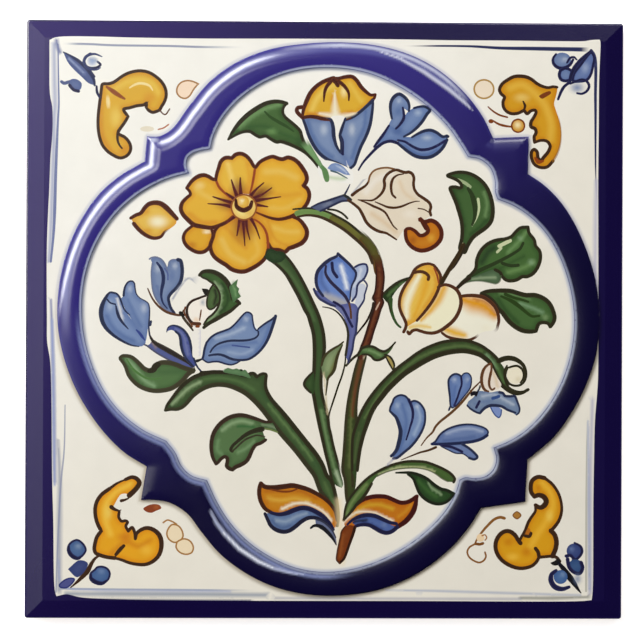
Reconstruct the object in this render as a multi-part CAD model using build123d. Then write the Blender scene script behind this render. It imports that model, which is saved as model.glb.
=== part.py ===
"""A square glazed wall tile, pressed in one piece: a flat panel with a sloped blue rim, a raised
barbed-quatrefoil moulding standing on the panel, and shallow keying grooves in the unglazed back.

Row frame, millimetres: the tile lies on its back, +Z up out of the glazed face, +Y towards the top
of the picture, origin at the middle of the back.
"""

import os

from build123d import *

# ---- driving dimensions -------------------------------------------------------------------
SIDE = 150.0  # edge length, over the glaze
BODY = 8.0  # thickness at the flat panel
RIM_WIDTH = 4.5  # plan width of the sloped rim
RIM_DROP = 0.9  # how far the rim falls from the panel to the tile's edge
ARRIS = 0.5  # rounding of the rim where it turns down into the sides
CORNER = 0.7  # rounding of the four upright corners
FOOT = 0.3  # rounding of the lower edges
MOULDING = 1.7  # height of the quatrefoil moulding over the panel
MOULDING_FOOT = 0.3  # it starts this far inside the body, so that the two fuse
CREST = 1.25  # rounding of the moulding's upper edges
KEY_COUNT = 6  # grooves in the back
KEY_WIDTH = 9.0
KEY_PITCH = 21.0
KEY_DEPTH = 0.7
KEY_MARGIN = 13.0  # plain land between the groove ends and the tile's edge

# ---- plan of the moulding, as drawn on the tile -------------------------------------------
# Each run goes from one corner of the outline to the next, clockwise seen from the face.
OUTER = [
    ("top lobe", [(-44.8, 45.8), (-41.6, 45.9), (-38.6, 47.7), (-34.4, 53.3), (-29.5, 59.3), (-22.7, 64.4), (-14.2, 67.8), (-5.1, 69.3), (3.7, 69.7), (13.0, 68.9), (21.6, 66.5), (28.6, 62.7), (34.7, 57.4), (39.3, 51.5), (42.1, 45.9)]),
    ("top right barb, upper", [(42.1, 45.9), (51.1, 46.3)]),
    ("top right barb, outer", [(51.1, 46.3), (50.9, 36.9)]),
    ("right lobe", [(50.9, 36.9), (54.9, 34.2), (59.1, 30.0), (62.7, 24.5), (65.8, 17.7), (68.0, 10.5), (68.9, 4.2), (69.0, -1.9), (68.1, -9.2), (65.8, -16.0), (62.3, -22.8), (57.6, -29.3), (51.1, -34.9)]),
    ("bottom right barb, outer", [(51.1, -34.9), (50.5, -45.5)]),
    ("bottom right barb, lower", [(50.5, -45.5), (39.4, -47.1)]),
    ("bottom lobe", [(39.4, -47.1), (36.8, -51.3), (33.0, -56.0), (27.7, -60.7), (21.2, -64.8), (13.7, -67.7), (4.7, -69.1), (-4.6, -68.8), (-12.9, -66.8), (-20.2, -63.2), (-26.2, -58.6), (-30.8, -53.2), (-34.3, -48.7), (-38.6, -46.0), (-42.3, -45.3), (-45.9, -45.3)]),
    ("bottom left barb, outer", [(-45.9, -45.3), (-44.5, -36.9)]),
    ("left lobe", [(-44.5, -36.9), (-50.0, -33.5), (-54.7, -29.0), (-58.9, -23.5), (-62.5, -17.2), (-65.2, -10.2), (-66.8, -2.7), (-67.0, 4.4), (-66.1, 11.7), (-63.9, 19.2), (-60.5, 26.1), (-56.1, 32.0), (-51.4, 36.0), (-48.1, 38.0), (-45.4, 39.5)]),
    ("top left barb, outer", [(-45.4, 39.5), (-44.8, 45.8)]),
]
INNER = [
    ("top lobe", [(-28.9, 42.7), (-28.1, 46.1), (-25.9, 50.4), (-22.6, 54.4), (-18.1, 58.0), (-12.1, 61.1), (-5.1, 62.9), (3.0, 63.2), (10.8, 61.9), (18.1, 58.8), (24.8, 54.4), (30.5, 48.9), (33.5, 44.8), (35.8, 41.1)]),
    ("top right step", [(35.8, 41.1), (38.8, 40.5), (41.4, 38.4), (42.6, 35.1), (42.7, 32.2), (43.3, 30.5)]),
    ("right lobe", [(43.3, 30.5), (47.5, 28.8), (51.9, 25.8), (55.8, 21.6), (58.9, 16.3), (61.2, 10.0), (62.5, 3.3), (62.6, -2.9), (61.5, -9.7), (59.1, -16.4), (55.5, -22.4), (50.8, -27.4), (46.5, -30.2), (42.5, -31.9)]),
    ("bottom right step", [(42.5, -31.9), (43.2, -34.7), (42.5, -37.3), (40.5, -39.1), (37.7, -39.6), (35.4, -39.4), (34.0, -40.0)]),
    ("bottom lobe", [(34.0, -40.0), (32.9, -43.5), (30.2, -48.1), (26.0, -52.6), (20.2, -57.0), (13.4, -60.5), (6.4, -62.6), (-0.4, -63.2), (-6.9, -62.2), (-12.9, -59.7), (-18.7, -55.9), (-23.3, -51.2), (-26.6, -46.2), (-28.2, -43.0), (-29.4, -40.3)]),
    ("bottom left step", [(-29.4, -40.3), (-33.3, -39.1), (-35.9, -36.6), (-37.3, -33.5), (-39.6, -30.5)]),
    ("left lobe", [(-39.6, -30.5), (-45.7, -27.6), (-51.0, -23.4), (-55.3, -17.9), (-58.3, -11.5), (-60.2, -4.8), (-60.9, 1.8), (-60.5, 8.5), (-58.9, 15.1), (-56.1, 21.2), (-52.2, 26.6), (-47.2, 31.1), (-41.7, 34.3), (-37.4, 35.9), (-34.2, 36.6)]),
    ("top left step", [(-34.2, 36.6), (-34.9, 38.5), (-34.6, 40.4), (-33.3, 41.6), (-31.3, 42.3), (-28.9, 42.7)]),
]


def outline(runs, z):
    """One closed wire through the runs: a straight edge where a run has two points, else a smooth one."""
    edges = []
    for _name, points in runs:
        at = [(x, y, z) for x, y in points]
        edges.append(Line(*at) if len(at) == 2 else Spline(*at))
    return Wire(edges)


# ---- body: slab, sloped rim, rounded arrises ----------------------------------------------
slab = Pos(0, 0, (BODY - RIM_DROP) / 2) * Box(SIDE, SIDE, BODY - RIM_DROP)
slab = fillet(slab.edges().filter_by(Axis.Z), CORNER)
low = Pos(0, 0, BODY - RIM_DROP) * RectangleRounded(SIDE, SIDE, CORNER)
top = Pos(0, 0, BODY) * RectangleRounded(SIDE - 2 * RIM_WIDTH, SIDE - 2 * RIM_WIDTH, CORNER)
rim = loft([low.face(), top.face()])
body = slab + rim
arris = body.edges().filter_by(lambda e: abs(e.center().Z - (BODY - RIM_DROP)) < 0.02)
body = fillet(arris, ARRIS)
foot = body.edges().filter_by(lambda e: abs(e.center().Z) < 0.01)
body = fillet(foot, FOOT)

# ---- the moulding: a rounded bead between its two outlines ---------------------------------
z0 = BODY - MOULDING_FOOT
ring = Face(outline(OUTER, z0), [outline(INNER, z0)])
bead = extrude(ring, amount=MOULDING + MOULDING_FOOT, dir=(0, 0, 1))
crest = bead.edges().filter_by(lambda e: abs(e.center().Z - (BODY + MOULDING)) < 0.01)
for radius in (CREST, 1.1, 0.9, 0.7, 0.5):
    try:
        bead = fillet(crest, radius)
        print("moulding rounded by", radius)
        break
    except Exception as problem:
        print("rounding", radius, "failed:", type(problem).__name__)

tile = body + bead

# ---- keying grooves in the back ------------------------------------------------------------
for i in range(KEY_COUNT):
    x = (i - (KEY_COUNT - 1) / 2) * KEY_PITCH
    groove = Pos(x, 0, KEY_DEPTH / 2 - 0.5) * Box(KEY_WIDTH, SIDE - 2 * KEY_MARGIN, KEY_DEPTH + 1.0)
    groove = fillet(groove.edges().filter_by(Axis.Z), 2.5)
    tile = tile - groove

os.makedirs("parts", exist_ok=True)
solid = tile.solid() if len(tile.solids()) == 1 else tile
print("solids", len(tile.solids()), "volume cm3", round(tile.volume / 1000, 2), "box", tile.bounding_box())
export_step(solid, "parts/tile.step")
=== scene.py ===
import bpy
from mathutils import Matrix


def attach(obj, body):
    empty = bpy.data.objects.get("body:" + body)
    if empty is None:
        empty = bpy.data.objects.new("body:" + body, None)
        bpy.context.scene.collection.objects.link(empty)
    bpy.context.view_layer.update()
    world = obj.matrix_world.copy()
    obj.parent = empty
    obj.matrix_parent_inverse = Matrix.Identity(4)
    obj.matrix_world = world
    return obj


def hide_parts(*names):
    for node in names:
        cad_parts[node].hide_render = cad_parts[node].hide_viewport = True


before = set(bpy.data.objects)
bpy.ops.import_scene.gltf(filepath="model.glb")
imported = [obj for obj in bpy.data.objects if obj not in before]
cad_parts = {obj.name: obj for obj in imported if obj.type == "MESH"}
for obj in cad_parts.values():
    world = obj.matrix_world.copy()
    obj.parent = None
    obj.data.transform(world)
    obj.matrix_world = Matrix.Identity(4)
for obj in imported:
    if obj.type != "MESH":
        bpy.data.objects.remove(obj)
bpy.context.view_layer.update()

import math

import bpy
import numpy as np
from mathutils import Matrix, Vector
from mathutils.geometry import delaunay_2d_cdt
from mathutils.kdtree import KDTree

# =============================================================================================
# The tile lies face up. Its face is drawn in drawing units, "px": x to the right, y down, about
# 3.98 px to a millimetre. H takes a px point to millimetres on the tile, middle at the origin.
# =============================================================================================
H = np.array([[2.506277038e-01, 1.343426125e-03, -81.8530955], [7.365576621e-04, -2.509008231e-01, 80.00695484], [-9.820768828e-06, 2.696082301e-06, 1.0]])
HI = np.linalg.inv(H)


def to_mm(p):
    p = np.atleast_2d(np.asarray(p, float))
    q = np.c_[p, np.ones(len(p))] @ H.T
    return q[:, :2] / q[:, 2:]


def to_px(p):
    p = np.atleast_2d(np.asarray(p, float))
    q = np.c_[p, np.ones(len(p))] @ HI.T
    return q[:, :2] / q[:, 2:]


def rgb(text):
    """A hex colour as linear red, green, blue."""
    c = np.array([int(text[i : i + 2], 16) / 255.0 for i in (0, 2, 4)])
    return np.where(c <= 0.04045, c / 12.92, ((c + 0.055) / 1.055) ** 2.4)


# ---- curves -----------------------------------------------------------------------------------
def parse(text):
    points, corner = [], []
    for word in text.split():
        corner.append(word.endswith("*"))
        x, y = word.rstrip("*").split(",")
        points.append((float(x), float(y)))
    return np.array(points), corner


def through(p, wrap=False):
    """A centripetal Catmull-Rom curve through the points, sampled about every 0.8 px."""
    p = np.asarray(p, float)
    keep = np.r_[True, np.hypot(*np.diff(p, axis=0).T) > 1e-6]
    p = p[keep]
    if len(p) < 3 and not wrap:
        n = max(2, int(np.hypot(*(p[-1] - p[0])) / 0.8) + 1)
        return p[0] + (p[-1] - p[0]) * np.linspace(0, 1, n)[:, None]
    if wrap:
        q = np.vstack([p[-1], p, p[0], p[1]])
    else:
        q = np.vstack([2 * p[0] - p[1], p, 2 * p[-1] - p[-2]])
    out = []
    for i in range(len(q) - 3):
        a, b, c, d = q[i : i + 4]
        t1 = max(np.hypot(*(b - a)), 1e-6) ** 0.5
        t2 = t1 + max(np.hypot(*(c - b)), 1e-6) ** 0.5
        t3 = t2 + max(np.hypot(*(d - c)), 1e-6) ** 0.5
        n = max(1, int(math.ceil(np.hypot(*(c - b)) / 0.8)))
        t = t1 + (t2 - t1) * (np.arange(n) / n)[:, None]
        a1 = a + (b - a) * t / t1
        a2 = b + (c - b) * (t - t1) / (t2 - t1)
        a3 = c + (d - c) * (t - t2) / (t3 - t2)
        b1 = a1 + (a2 - a1) * t / t2
        b2 = a2 + (a3 - a2) * (t - t1) / (t3 - t1)
        out.append(b1 + (b2 - b1) * (t - t1) / (t2 - t1))
    if not wrap:
        out.append(q[-2][None])
    return np.vstack(out)


def curve(text, closed=False):
    p, corner = parse(text) if isinstance(text, str) else (np.asarray(text, float), [False] * len(text))
    if closed:
        if not any(corner):
            return through(p, True)
        k = corner.index(True)
        p = np.vstack([p[k:], p[: k + 1]])
        corner = corner[k:] + corner[: k + 1]
    stops = sorted({0, len(p) - 1} | {i for i, c in enumerate(corner) if c})
    parts = [through(p[a : b + 1]) for a, b in zip(stops, stops[1:])]
    line_ = np.vstack([q[:-1] for q in parts[:-1]] + [parts[-1]]) if len(parts) > 1 else parts[0]
    return line_[:-1] if closed else line_


def thin(p, tol, longest, closed=False):
    """Indices of the points that a chain needs to stay within tol of its curve."""
    if closed:
        p = np.vstack([p, p[:1]])
    keep, i = [0], 0
    n = len(p)
    while i < n - 1:
        j = i + 1
        while j + 1 < n:
            a, b = p[i], p[j + 1]
            ab = b - a
            length = np.hypot(*ab)
            if length > longest:
                break
            m = p[i + 1 : j + 1] - a
            off = np.abs(m[:, 0] * ab[1] - m[:, 1] * ab[0]) / max(length, 1e-9)
            if off.max() > tol:
                break
            j += 1
        keep.append(j)
        i = j
    return keep[:-1] if closed else keep


# ---- what is laid on the face, in order ---------------------------------------------------------
OPS = []  # what is painted, first to last
CHAINS = []  # (points, closed) that the surface's edges follow
DOTS = []  # further points of the surface
LAST = [None]


def fill(colour, text, grain=2.5):
    p = curve(text, True)
    q = p[thin(p, 0.09, 4.5, True)]
    CHAINS.append((q, True))
    op = dict(kind="fill", poly=q, col=rgb(colour), grain=grain)
    LAST[0] = op
    OPS.append(op)


def line(colours, width, text, alpha=1.0, fade=(0.0, 0.0), closed=False, caps=True):
    """A brush stroke: colours is one or (middle, edge), width one or several spread along it."""
    if isinstance(colours, str):
        colours = (colours, colours)
    p = curve(text, closed)
    if closed:
        p = np.vstack([p, p[:1]])
    s = np.r_[0, np.cumsum(np.hypot(*np.diff(p, axis=0).T))]
    w = np.atleast_1d(np.asarray(width, float))
    r = np.interp(s / s[-1], np.linspace(0, 1, len(w)), w) / 2 if len(w) > 1 else np.full(len(p), w[0] / 2)
    r = np.maximum(r * 1.08, 0.2)
    k = thin(p, 0.08, 4.5)
    c, rk, sk = p[k], r[k], s[k] / s[-1]
    t = np.gradient(c, axis=0)
    t /= np.maximum(np.hypot(*t.T), 1e-9)[:, None]
    n = np.c_[-t[:, 1], t[:, 0]]
    left, right = c + n * rk[:, None], c - n * rk[:, None]
    if closed:
        CHAINS.append((left[:-1], True))
        CHAINS.append((right[:-1], True))
    else:
        ends = []
        for at, way, normal, rad in ((c[-1], t[-1], n[-1], rk[-1]), (c[0], -t[0], -n[0], rk[0])):
            m = 3 if rad > 0.9 else 1
            ends.append([at + rad * (math.cos(a) * normal + math.sin(a) * way) for a in np.linspace(0, math.pi, m + 2)[1:-1]])
        CHAINS.append((np.vstack([left, ends[0], right[::-1], ends[1]]), True))
    if rk.max() > 0.8:
        DOTS.append(c)
    OPS.append(dict(kind="line", c=c, r=rk, s=sk, core=rgb(colours[0]), edge=0.45 * rgb(colours[0]) + 0.55 * rgb(colours[1]), alpha=alpha, fade=fade))


def wash(colour, width, text, alpha=0.8, clip=True, closed=False):
    """A soft-edged stroke. clip keeps it on the fill laid last."""
    p = curve(text, closed)
    if closed:
        p = np.vstack([p, p[:1]])
    s = np.r_[0, np.cumsum(np.hypot(*np.diff(p, axis=0).T))]
    w = np.atleast_1d(np.asarray(width, float))
    r = np.interp(s / s[-1], np.linspace(0, 1, len(w)), w) / 2 if len(w) > 1 else np.full(len(p), w[0] / 2)
    k = thin(p, 0.25, 3.0)
    c, rk = p[k], np.maximum(r[k], 0.3)
    t = np.gradient(c, axis=0)
    t /= np.maximum(np.hypot(*t.T), 1e-9)[:, None]
    n = np.c_[-t[:, 1], t[:, 0]]
    if not clip:
        for f in (-1, -0.5, 0, 0.5, 1):
            DOTS.append(c + n * (rk * f)[:, None])
    else:
        DOTS.append(c)
    OPS.append(dict(kind="wash", c=c, r=rk, col=rgb(colour), alpha=alpha, clip=LAST[0] if clip else None))


def blob(colour, x, y, rx, ry=None, alpha=0.8, turn=0.0, clip=True):
    """A soft-edged spot."""
    ry = rx if ry is None else ry
    a = math.radians(turn)
    u, v = np.array([math.cos(a), math.sin(a)]), np.array([-math.sin(a), math.cos(a)])
    ring = [np.array([x, y])]
    for f, m in ((0.35, 6), (0.7, 9), (1.0, 12)):
        for q in range(m):
            b = 2 * math.pi * (q + f) / m
            ring.append(np.array([x, y]) + u * rx * f * math.cos(b) + v * ry * f * math.sin(b))
    if not clip:
        DOTS.append(np.array(ring))
    OPS.append(dict(kind="blob", at=np.array([x, y]), u=u, v=v, rx=rx, ry=ry, col=rgb(colour), alpha=alpha, clip=LAST[0] if clip else None))


def disc(colour, x, y, rx, ry=None, turn=0.0):
    ry = rx if ry is None else ry
    a = math.radians(turn)
    p = []
    for q in range(12):
        b = 2 * math.pi * q / 12
        p.append((x + rx * math.cos(b) * math.cos(a) - ry * math.sin(b) * math.sin(a), y + rx * math.cos(b) * math.sin(a) + ry * math.sin(b) * math.cos(a)))
    fill(colour, np.array(p))


# =============================================================================================
# The painted design: brush colours, then the motifs from the corners to the spray
# =============================================================================================
K = ("3a2414", "4a2e1a")  # dark brown line of the corner scrolls
KY = ("431c12", "6e341c")  # red-brown line of the yellow flower
KG = ("2a2616", "3a3a20")  # green-black line of the leaves
KB = ("222840", "3a4468")  # blue-black line of the blue flowers
KC = "4a2c18"  # brown line of the cream flower
NV = ("1a1a3a", "34386a")  # navy


def edging(text, width, colours, closed=True):
    line(colours, width, text, closed=closed)


# ---- the bands that run round the panel's edge ----
wash("a8adc5", (8, 9, 8, 6), "54.5,45 55,85 55.5,105 54.5,118 54,150 53,175 51,230 49,262", 0.94, clip=False)
line(("6f78a0", "8a92b4"), (1.2, 1.6, 2.6, 3, 2), "58.5,45 59,85 59.3,105 58.5,118 57,150 56,175 54,230 51,262")
wash("8489ae", (4, 7, 7, 6), "51,300 52.5,345 53.5,400 54,440 54.5,482", 0.97, clip=False)
wash("9c9fae", (5, 9, 9), "58,440 59.5,480 59,530 58.5,590", 0.88, clip=False)
line("8f94ac", (1, 1.6, 1.6, 1.2), "65,405 64,450 61,480 58,530 55.5,592", alpha=0.8)
wash("6d75a1", 7, "57,41 58,47 60.5,53", 0.97, clip=False)
line("9a9fb0", 2, "63,44.5 90,45 110,46 170,46.8 200,47.7 246,48", fade=(0.1, 0.3))
line(("23284e", "4a5078"), (1.2, 2, 3.4, 4), "403,46.5 470,46.8 500,48.5 530,49 560,49.5 590,50", fade=(0.2, 0.05))
line(("23284e", "4a5078"), (3.2, 2.6, 1.6, 0.6), "591,51 594.5,57 595.3,100 595.5,175 597,210", fade=(0.0, 0.3))
wash("b7b4ca", (7, 8, 6), "596,180 595,240 595,300", 0.75, clip=False)
wash("9fa5ae", (8, 9, 8), "66,593.5 130,593.8 200,594 265,594.5", 0.97, clip=False)
line("9aa2b4", 1.8, "60,588.5 110,589 180,589.4 262,590", fade=(0.0, 0.3), alpha=0.8)
wash("4d526d", (4, 5, 4), "70,599 150,600 250,600", 0.88, clip=False)
line("b0ad9f", (1, 2, 2), "586.5,415 586,480 585.5,590", alpha=0.75, fade=(0.2, 0.0))
wash("c0bcc8", (6, 7, 7), "592,400 590,470 589.5,592", 0.97, clip=False)
wash("8a8a7f", (5, 6, 4), "520,597 552,597 586,596", 0.88, clip=False)
wash("a9a9b4", (5, 5), "275,597.5 400,598 520,598", 0.69, clip=False)

wash("97a3cc", (5, 6, 6, 4), "52,320 53,360 53.5,400 54,440 54.5,485", 0.85, clip=False)
wash("b0b6c6", (3, 4.6, 4.6, 3.6), "386,589.4 430,590 480,591.4 530,592.8 580,594", 0.85, clip=False)
wash("a3abc6", (3, 4.4, 4.6, 4), "587.4,420 588,470 588.4,530 588.8,588", 0.85, clip=False)
wash("8e9ccb", (3, 4.6, 4.6, 4), "58,560 62,585 90,589.5 150,590.5 230,591", 0.5, clip=False)

# ---- top left scroll ----
TL = (
    "103,85 109,84.5 114,83 119,79.5 125,75.5 133,72.5 141,71.5 149,73 156,77 162,82.5 166,90 166.5,97 164.5,103 162,107 160,110.5 157,112 153,113 149,111 146.5,108* 147,103.5* 144,105.5"
    " 137,106.5 130,108.5* 124,110 126,114 128.5,117* 126,121.5 123,126 120,130 118.5,134 124,137* 127.5,140 130.5,145 131,150 129,154.5 125,157.5 120,158.5 114,156 108,152 103,146 100,138"
    " 98.5,128 98.5,118 99.5,108 100.5,100 101.5,93"
)
fill("dbaa34", TL)
wash("e5bf4d", 12, "112,92 125,84 140,81 152,84 158,93", 0.8)
wash("d38f26", 9, "101,100 101,118 103,136 110,150", 0.7)
blob("d5952a", 150, 98, 10, 8)
blob("e8c95f", 116, 118, 9, 16)
blob("ce8624", 124, 150, 8, 7)
# painted highlights: pale glints on the scroll's glaze
line(("f6e6b0", "f0d070"), (1.5, 2.6, 2.6, 1.2), "130,88.5 136,85 142,84 150,86.5 153,91", alpha=0.8)
line(("f6e6b0", "f0d070"), (2.5, 4, 3), "108,95 108.5,102 109,110", alpha=0.75, fade=(0.3, 0.3))
line(("8a4420", "a8642a"), (2, 4.5, 4, 2), "107,87.5 112,91 120,96.5 125,99.5")
line(K, 3, TL, closed=True)
line(K, (3, 2.4, 1.6), "119,131 118,135 118,141 120,146 122.5,149")
line(K, (2, 3, 2), "130,108.5 137,106.5 144,105.5 147,103.5")
line("5a3218", 1.3, "160,110.5 163.5,114.5 166,115 170,109.5")
disc("e6dcc4", 147.5, 129.5, 7, 2.8)
line("b06a45", 1.3, "158.5,130 164,128.5 169,125")
DROP = "198.5,84.5* 193,82 187,81.3 181,83.5 177.5,88.5 177.5,94 181,98 186,99 190,96.5 194,90"
fill("f6dcc0", DROP)
line("a87a48", 1.5, DROP, closed=True)
# ---- small blue marks in the top left corner ----
fill("b1b0c6", "65,55 72,57 79,62 84,69 83,74 76,71 69,63")
line(NV, (1, 2, 3.6, 5, 3), "64,53.5 72,57 80,62.5 88,74 94,84")
line(NV, (2.4, 3, 2.6, 2), "91,54.5 86,58 84.5,63 87,67.5 92,69 98,68 101,65.5 98,62.5")
wash("848fa7", 7, "91,60 94,60.5 96,61", 0.8, clip=False)
line(NV, (1.6, 2.5, 1.8), "85,66 90,71 95,77.5")
line(("47527c", "6a76a0"), (3, 3.4, 1.2), "62,82.5 64.5,84 70,82.5 75,80.5")
fill("5f6e99", "71,80.5 77,80 82,84 81,90 75,91.5 70,88")
line(NV, 3, "70,86 74,90.5 79,92")
line(NV, (2, 2.6, 2), "97,87 97.5,93 100,98")

fill("55628f", "63.7,52.8* 70,56 77,60.5 84,66 90,73 94.5,81 95,86* 89,84 82,77.5 75,71 68.5,63.5")
wash("94a1c4", 3.6, "70,60 77,66.5 84,73.5", 0.8, clip=False)
line(("1c2348", "38426e"), (1, 2.4, 3.4, 3.4, 2), "63.7,52.8 70,56 77,60.5 84,66 90,73 94.5,81 95,86")
blob("94a6c8", 92.6, 62.6, 7.5, 6.6, 0.95, clip=False)
line(("27305c", "46527e"), (1, 2.4, 2.6, 2.2, 1), "102.5,57.5 95,54.8 87.5,57 84.3,63 88,69 97,70.5 101,68.5")

# ---- top right: blue flower in the corner ----
disc("7a8cae", 562, 60.5, 9, 7.5)
blob("b7c0cf", 565, 60, 5, 4)
line(NV, (2, 3, 3.4, 2.4), "556,54.5 553,59 553.5,64 558,68 564,68.5 570,65 573,60")
line(NV, (2, 2.4, 1.6), "567,63 570,58.5 574,57.5 576.5,60")
disc("7083aa", 565.5, 75, 6.3)
line(NV, (2.6, 3.2), "565.5,68.7 571,71 571.8,75.5 569.5,80 565.5,81.3 561,79.8 559.2,75 561,70.4", closed=True)
PT = "591,53 594,58 593,65 591,74 587,80 580,81.5 573,81 574,74 580,66 586,58"
fill("6b7da9", PT)
blob("9aa8c4", 585, 68, 6, 8)
line(NV, (2, 3, 2.4), PT, closed=True)
line(NV, (2, 3.6, 4, 3), "591,51 582,59 574.5,68 571,76 569.5,83")
blob("5f77a7", 577, 88, 11, 8, 0.85, clip=False)
line(NV, (2, 2.6, 2.6, 2), "570,84 575,82 581,80 586,81 589,86 587,91 582,94 577,93.5")
line(NV, (2.6, 3, 2.2), "569,83 564,87 561,92 558,99.5")

# ---- top right scroll ----
TR = (
    "557,87.5 553,87 548,88 542,86.5 537,84 532,80 527,77.5 521,76.5 514,77 508,80 502,84.5 499.5,90 501,94 504.5,97.5* 503,102 503.5,107.5 507,112 512,114 518,113.5 524,110.5"
    " 527,114* 531,111 535,110.5 536,112.5 533.5,118 531,122 531,127 535,129 536,133 534,137 534.5,142.5* 541,140.5 547,141.5 550,146 548,152 543,158 541,161 538,158 537,152 534,149.5 531.5,152"
    " 531.5,158 534,164 540,167.5 547,167 553,161 557,154 560,145 561,133 559.5,122 556,111 554,104 556,96"
)
fill("d49a1f", TR)
wash("e2b341", 13, "510,88 522,85 535,94 545,106 551,125 550,140", 0.8)
wash("c58118", 7, "556,100 560,122 560,145 552,162", 0.75)
blob("e7c66b", 522, 98, 12, 7)
blob("bf7616", 536, 160, 6, 8)
fill("7a3a16", "550,91.5 543,93.5 539,96.5 542,99 547,96.5 551,93.5")
line(K, (2.6, 3.4, 3, 3), "557,87.5 553,87 548,88 542,86.5 537,84 532,80 527,77.5 521,76.5 514,77 508,80 502,84.5 499.5,90 501,94 504.5,97.5 503,102 503.5,107.5 507,112 512,114 518,113.5 524,110.5")
line(K, (2, 2.6, 1.4), "524,110.5 525,106 523,101.5")
line(K, (3, 3, 3.4, 3), "524,110.5 527,114 531,111 535,110.5 536,112.5 533.5,118 531,122 531,127 535,129 536,133 534,137 534.5,142.5")
line(K, (2.6, 3.4, 3, 3), "534.5,142.5 541,140.5 547,141.5 550,146 548,152 543,158 541,161 538,158 537,152 534,149.5 531.5,152 531.5,158 534,164 540,167.5 547,167 553,161")
line("8e5f1f", (2.5, 1.2, 1), "553,161 557,154 560,145 561,133 559.5,122 556,111", alpha=0.6, fade=(0.0, 0.3))
line("8e3f10", (2, 4, 2), "535,158 538.5,162 543,161")
disc("f0dfc6", 484, 89.5, 9.8, 9.3)
line("b08a4a", 1.6, "493.8,89.5 492.5,94.2 489,97.5 484,98.8 479,97.5 475.5,94.2 474.2,89.5 475.5,84.8 479,81.5 484,80.2 489,81.5 492.5,84.8", closed=True)
line("7a3b14", (1.2, 1.9, 1.6), "488,107 493,111.5 500,115.5 507.5,117.5")
disc("d9ae52", 518, 126, 6.4)
blob("f3e2ae", 517.5, 125, 5.4, 5.4, 0.95, clip=False)
line("7a3b14", (1.6, 2.4, 1.6), "493,121 499,124.5 507,126.5 512,127")
line("7a3b14", (1.4, 1.6), "524.5,126 522.6,130.6 518,132.5 513.4,130.6 511.5,126 513.4,121.4 518,119.5 522.6,121.4", closed=True)
disc("7a3b14", 491, 121.5, 2.6, 2.2)

# ---- bottom left corner ----
BLY = (
    "139,482 131.7,477.3 125,479.7 116.8,483.3 109,489 101.6,494.8 97,501.4 95.2,508.2 95.6,516.4 97.7,523.6 101,530.8* 97,536.6 95,543 94.4,549.4 95.6,552.6* 99.4,554.7 106.5,556.7 114.7,557.7"
    " 121,559.3 129.1,562.3 137.3,563.8 145.5,563.8 152.6,560.7 158,555.2 160.5,548.2 160.5,540.2 158,534 152.6,529.5 146.5,528 140.4,530 136.3,533.8* 134.4,531.6 131.8,527 127.8,530.6* 125.8,525.6"
    " 127,521.6 125,520.3 121.4,521.3 118.5,517.4 118.6,511.5 113,507.5 115,503 118,497.5 121,494 126,493.5 128.5,494.5* 133.2,489.7 137.3,485.1"
)
fill("e7a41f", BLY)
wash("f0bf41", 11, "130,484 116,492 106,504 105,518 110,534", 0.85)
wash("d07f16", 10, "112,552 126,542 138,546 150,540", 0.7)
blob("f0ce5f", 108, 512, 6, 12)
blob("f0ba3d", 146, 550, 10, 8)
blob("cc7516", 125, 537, 12, 8)
line(K, (3, 4.5, 5), "125,479.5 131.7,477 136.5,478.5 139.2,482.5 137.5,486.5 133.2,491.5 129,495.2")
line(K, (1.5, 3), "125,479.5 116.8,483.1 109.1,488.7")
line(K, 3.6, "109.1,488.7 101.4,494.4 96.8,501 94.9,508.2 95.3,516.4 97.3,523.6 100.9,530.8* 96.8,536.4 94.7,543.1 94,549.2 95.3,552.8 99.4,554.9 106.5,556.9 114.7,557.9")
line(K, (2.6, 3.4, 4.5, 3), "114.7,557.9 120.9,559.5 129.1,562.6 137.3,564.1 145.5,564.1 152.7,561 158.3,555.4 160.9,548.2 160.9,540 158.3,533.8 152.7,529.2 146.5,527.7 140.4,529.7 136.3,533.3 135,538.5")
line(K, 3, "135,538 134.4,532 131.7,527.2 128,530.8")
line(K, 2.8, "128,530.8 125.5,526 127.3,521.8 125,520.5 121.4,521 118.5,517 119,511.5")
line(K, (4, 2), "111,506.8 114,509 118.5,510.6")
line(K, 1, "118,510.8 120.8,509.8")
line(K, (3, 0.8), "121,500.6 124.5,499.8 128,498.2 131,495.5")
line(K, (3, 4, 3), "123.5,545.5 119.5,549.5 115.5,554.5")
line(K, (2, 5, 1), "98.5,555.5 94.5,558.5 91,563.5 87.5,570.5 82,576.5 76.5,582 70,587.5")
DOT1 = "76.5,539.8 82,543 85.5,549.5 82.5,555 77.5,558 71.5,555.5 67.5,550.5 69.5,543.5"
fill("516d96", DOT1)
blob("899bb4", 78, 546, 5, 4)
line(NV, 2, DOT1, closed=True)
line(NV, (2, 4, 4, 2), "68.5,545 68.5,551 72,556 77.5,558.2 82,555.5")
fill("3f4a7a", "79,560 87.5,563 84,571.5 76.5,577 67.5,569*")
fill("4d5188", "59,585 64,580 70,578 74,579 71,584 66,587.5 60,587")
line("2d3570", 1.4, "59,585 64,580 70,578 74,579 71,584 66,587.5 60,587", closed=True)
DOT2 = "97,567 102.5,566.5 107.5,569 109.5,573.5 107.5,579.5 102,583 95.5,582 90,577.5 90.5,573 94.5,569.5"
fill("4d6a96", DOT2)
blob("7389ae", 101, 571, 6, 4)
line(NV, 2, DOT2, closed=True)
line(NV, (2, 4.4, 4, 2), "90.5,573 90.5,578 95.5,582 102,583 107,580")
REDB = "143,508.5 148,505 154,503.8 159.5,505 161,508 156,510.5 151,512.6 146,511.5"
fill("8a3f20", REDB)
blob("b76633", 156, 506.5, 4, 2.4)
line("a87840", 1.5, "176.5,524 171.5,521 167,519.8 162.8,522.5")
CIR1 = "172,524.3 178,525.5 182,531 182.6,536.5 179,541 173.5,542 168.3,538.5 166.5,533 168.5,527.5"
fill("f0dcb8", CIR1)
line("a87840", 1.5, CIR1, closed=True)
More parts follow.
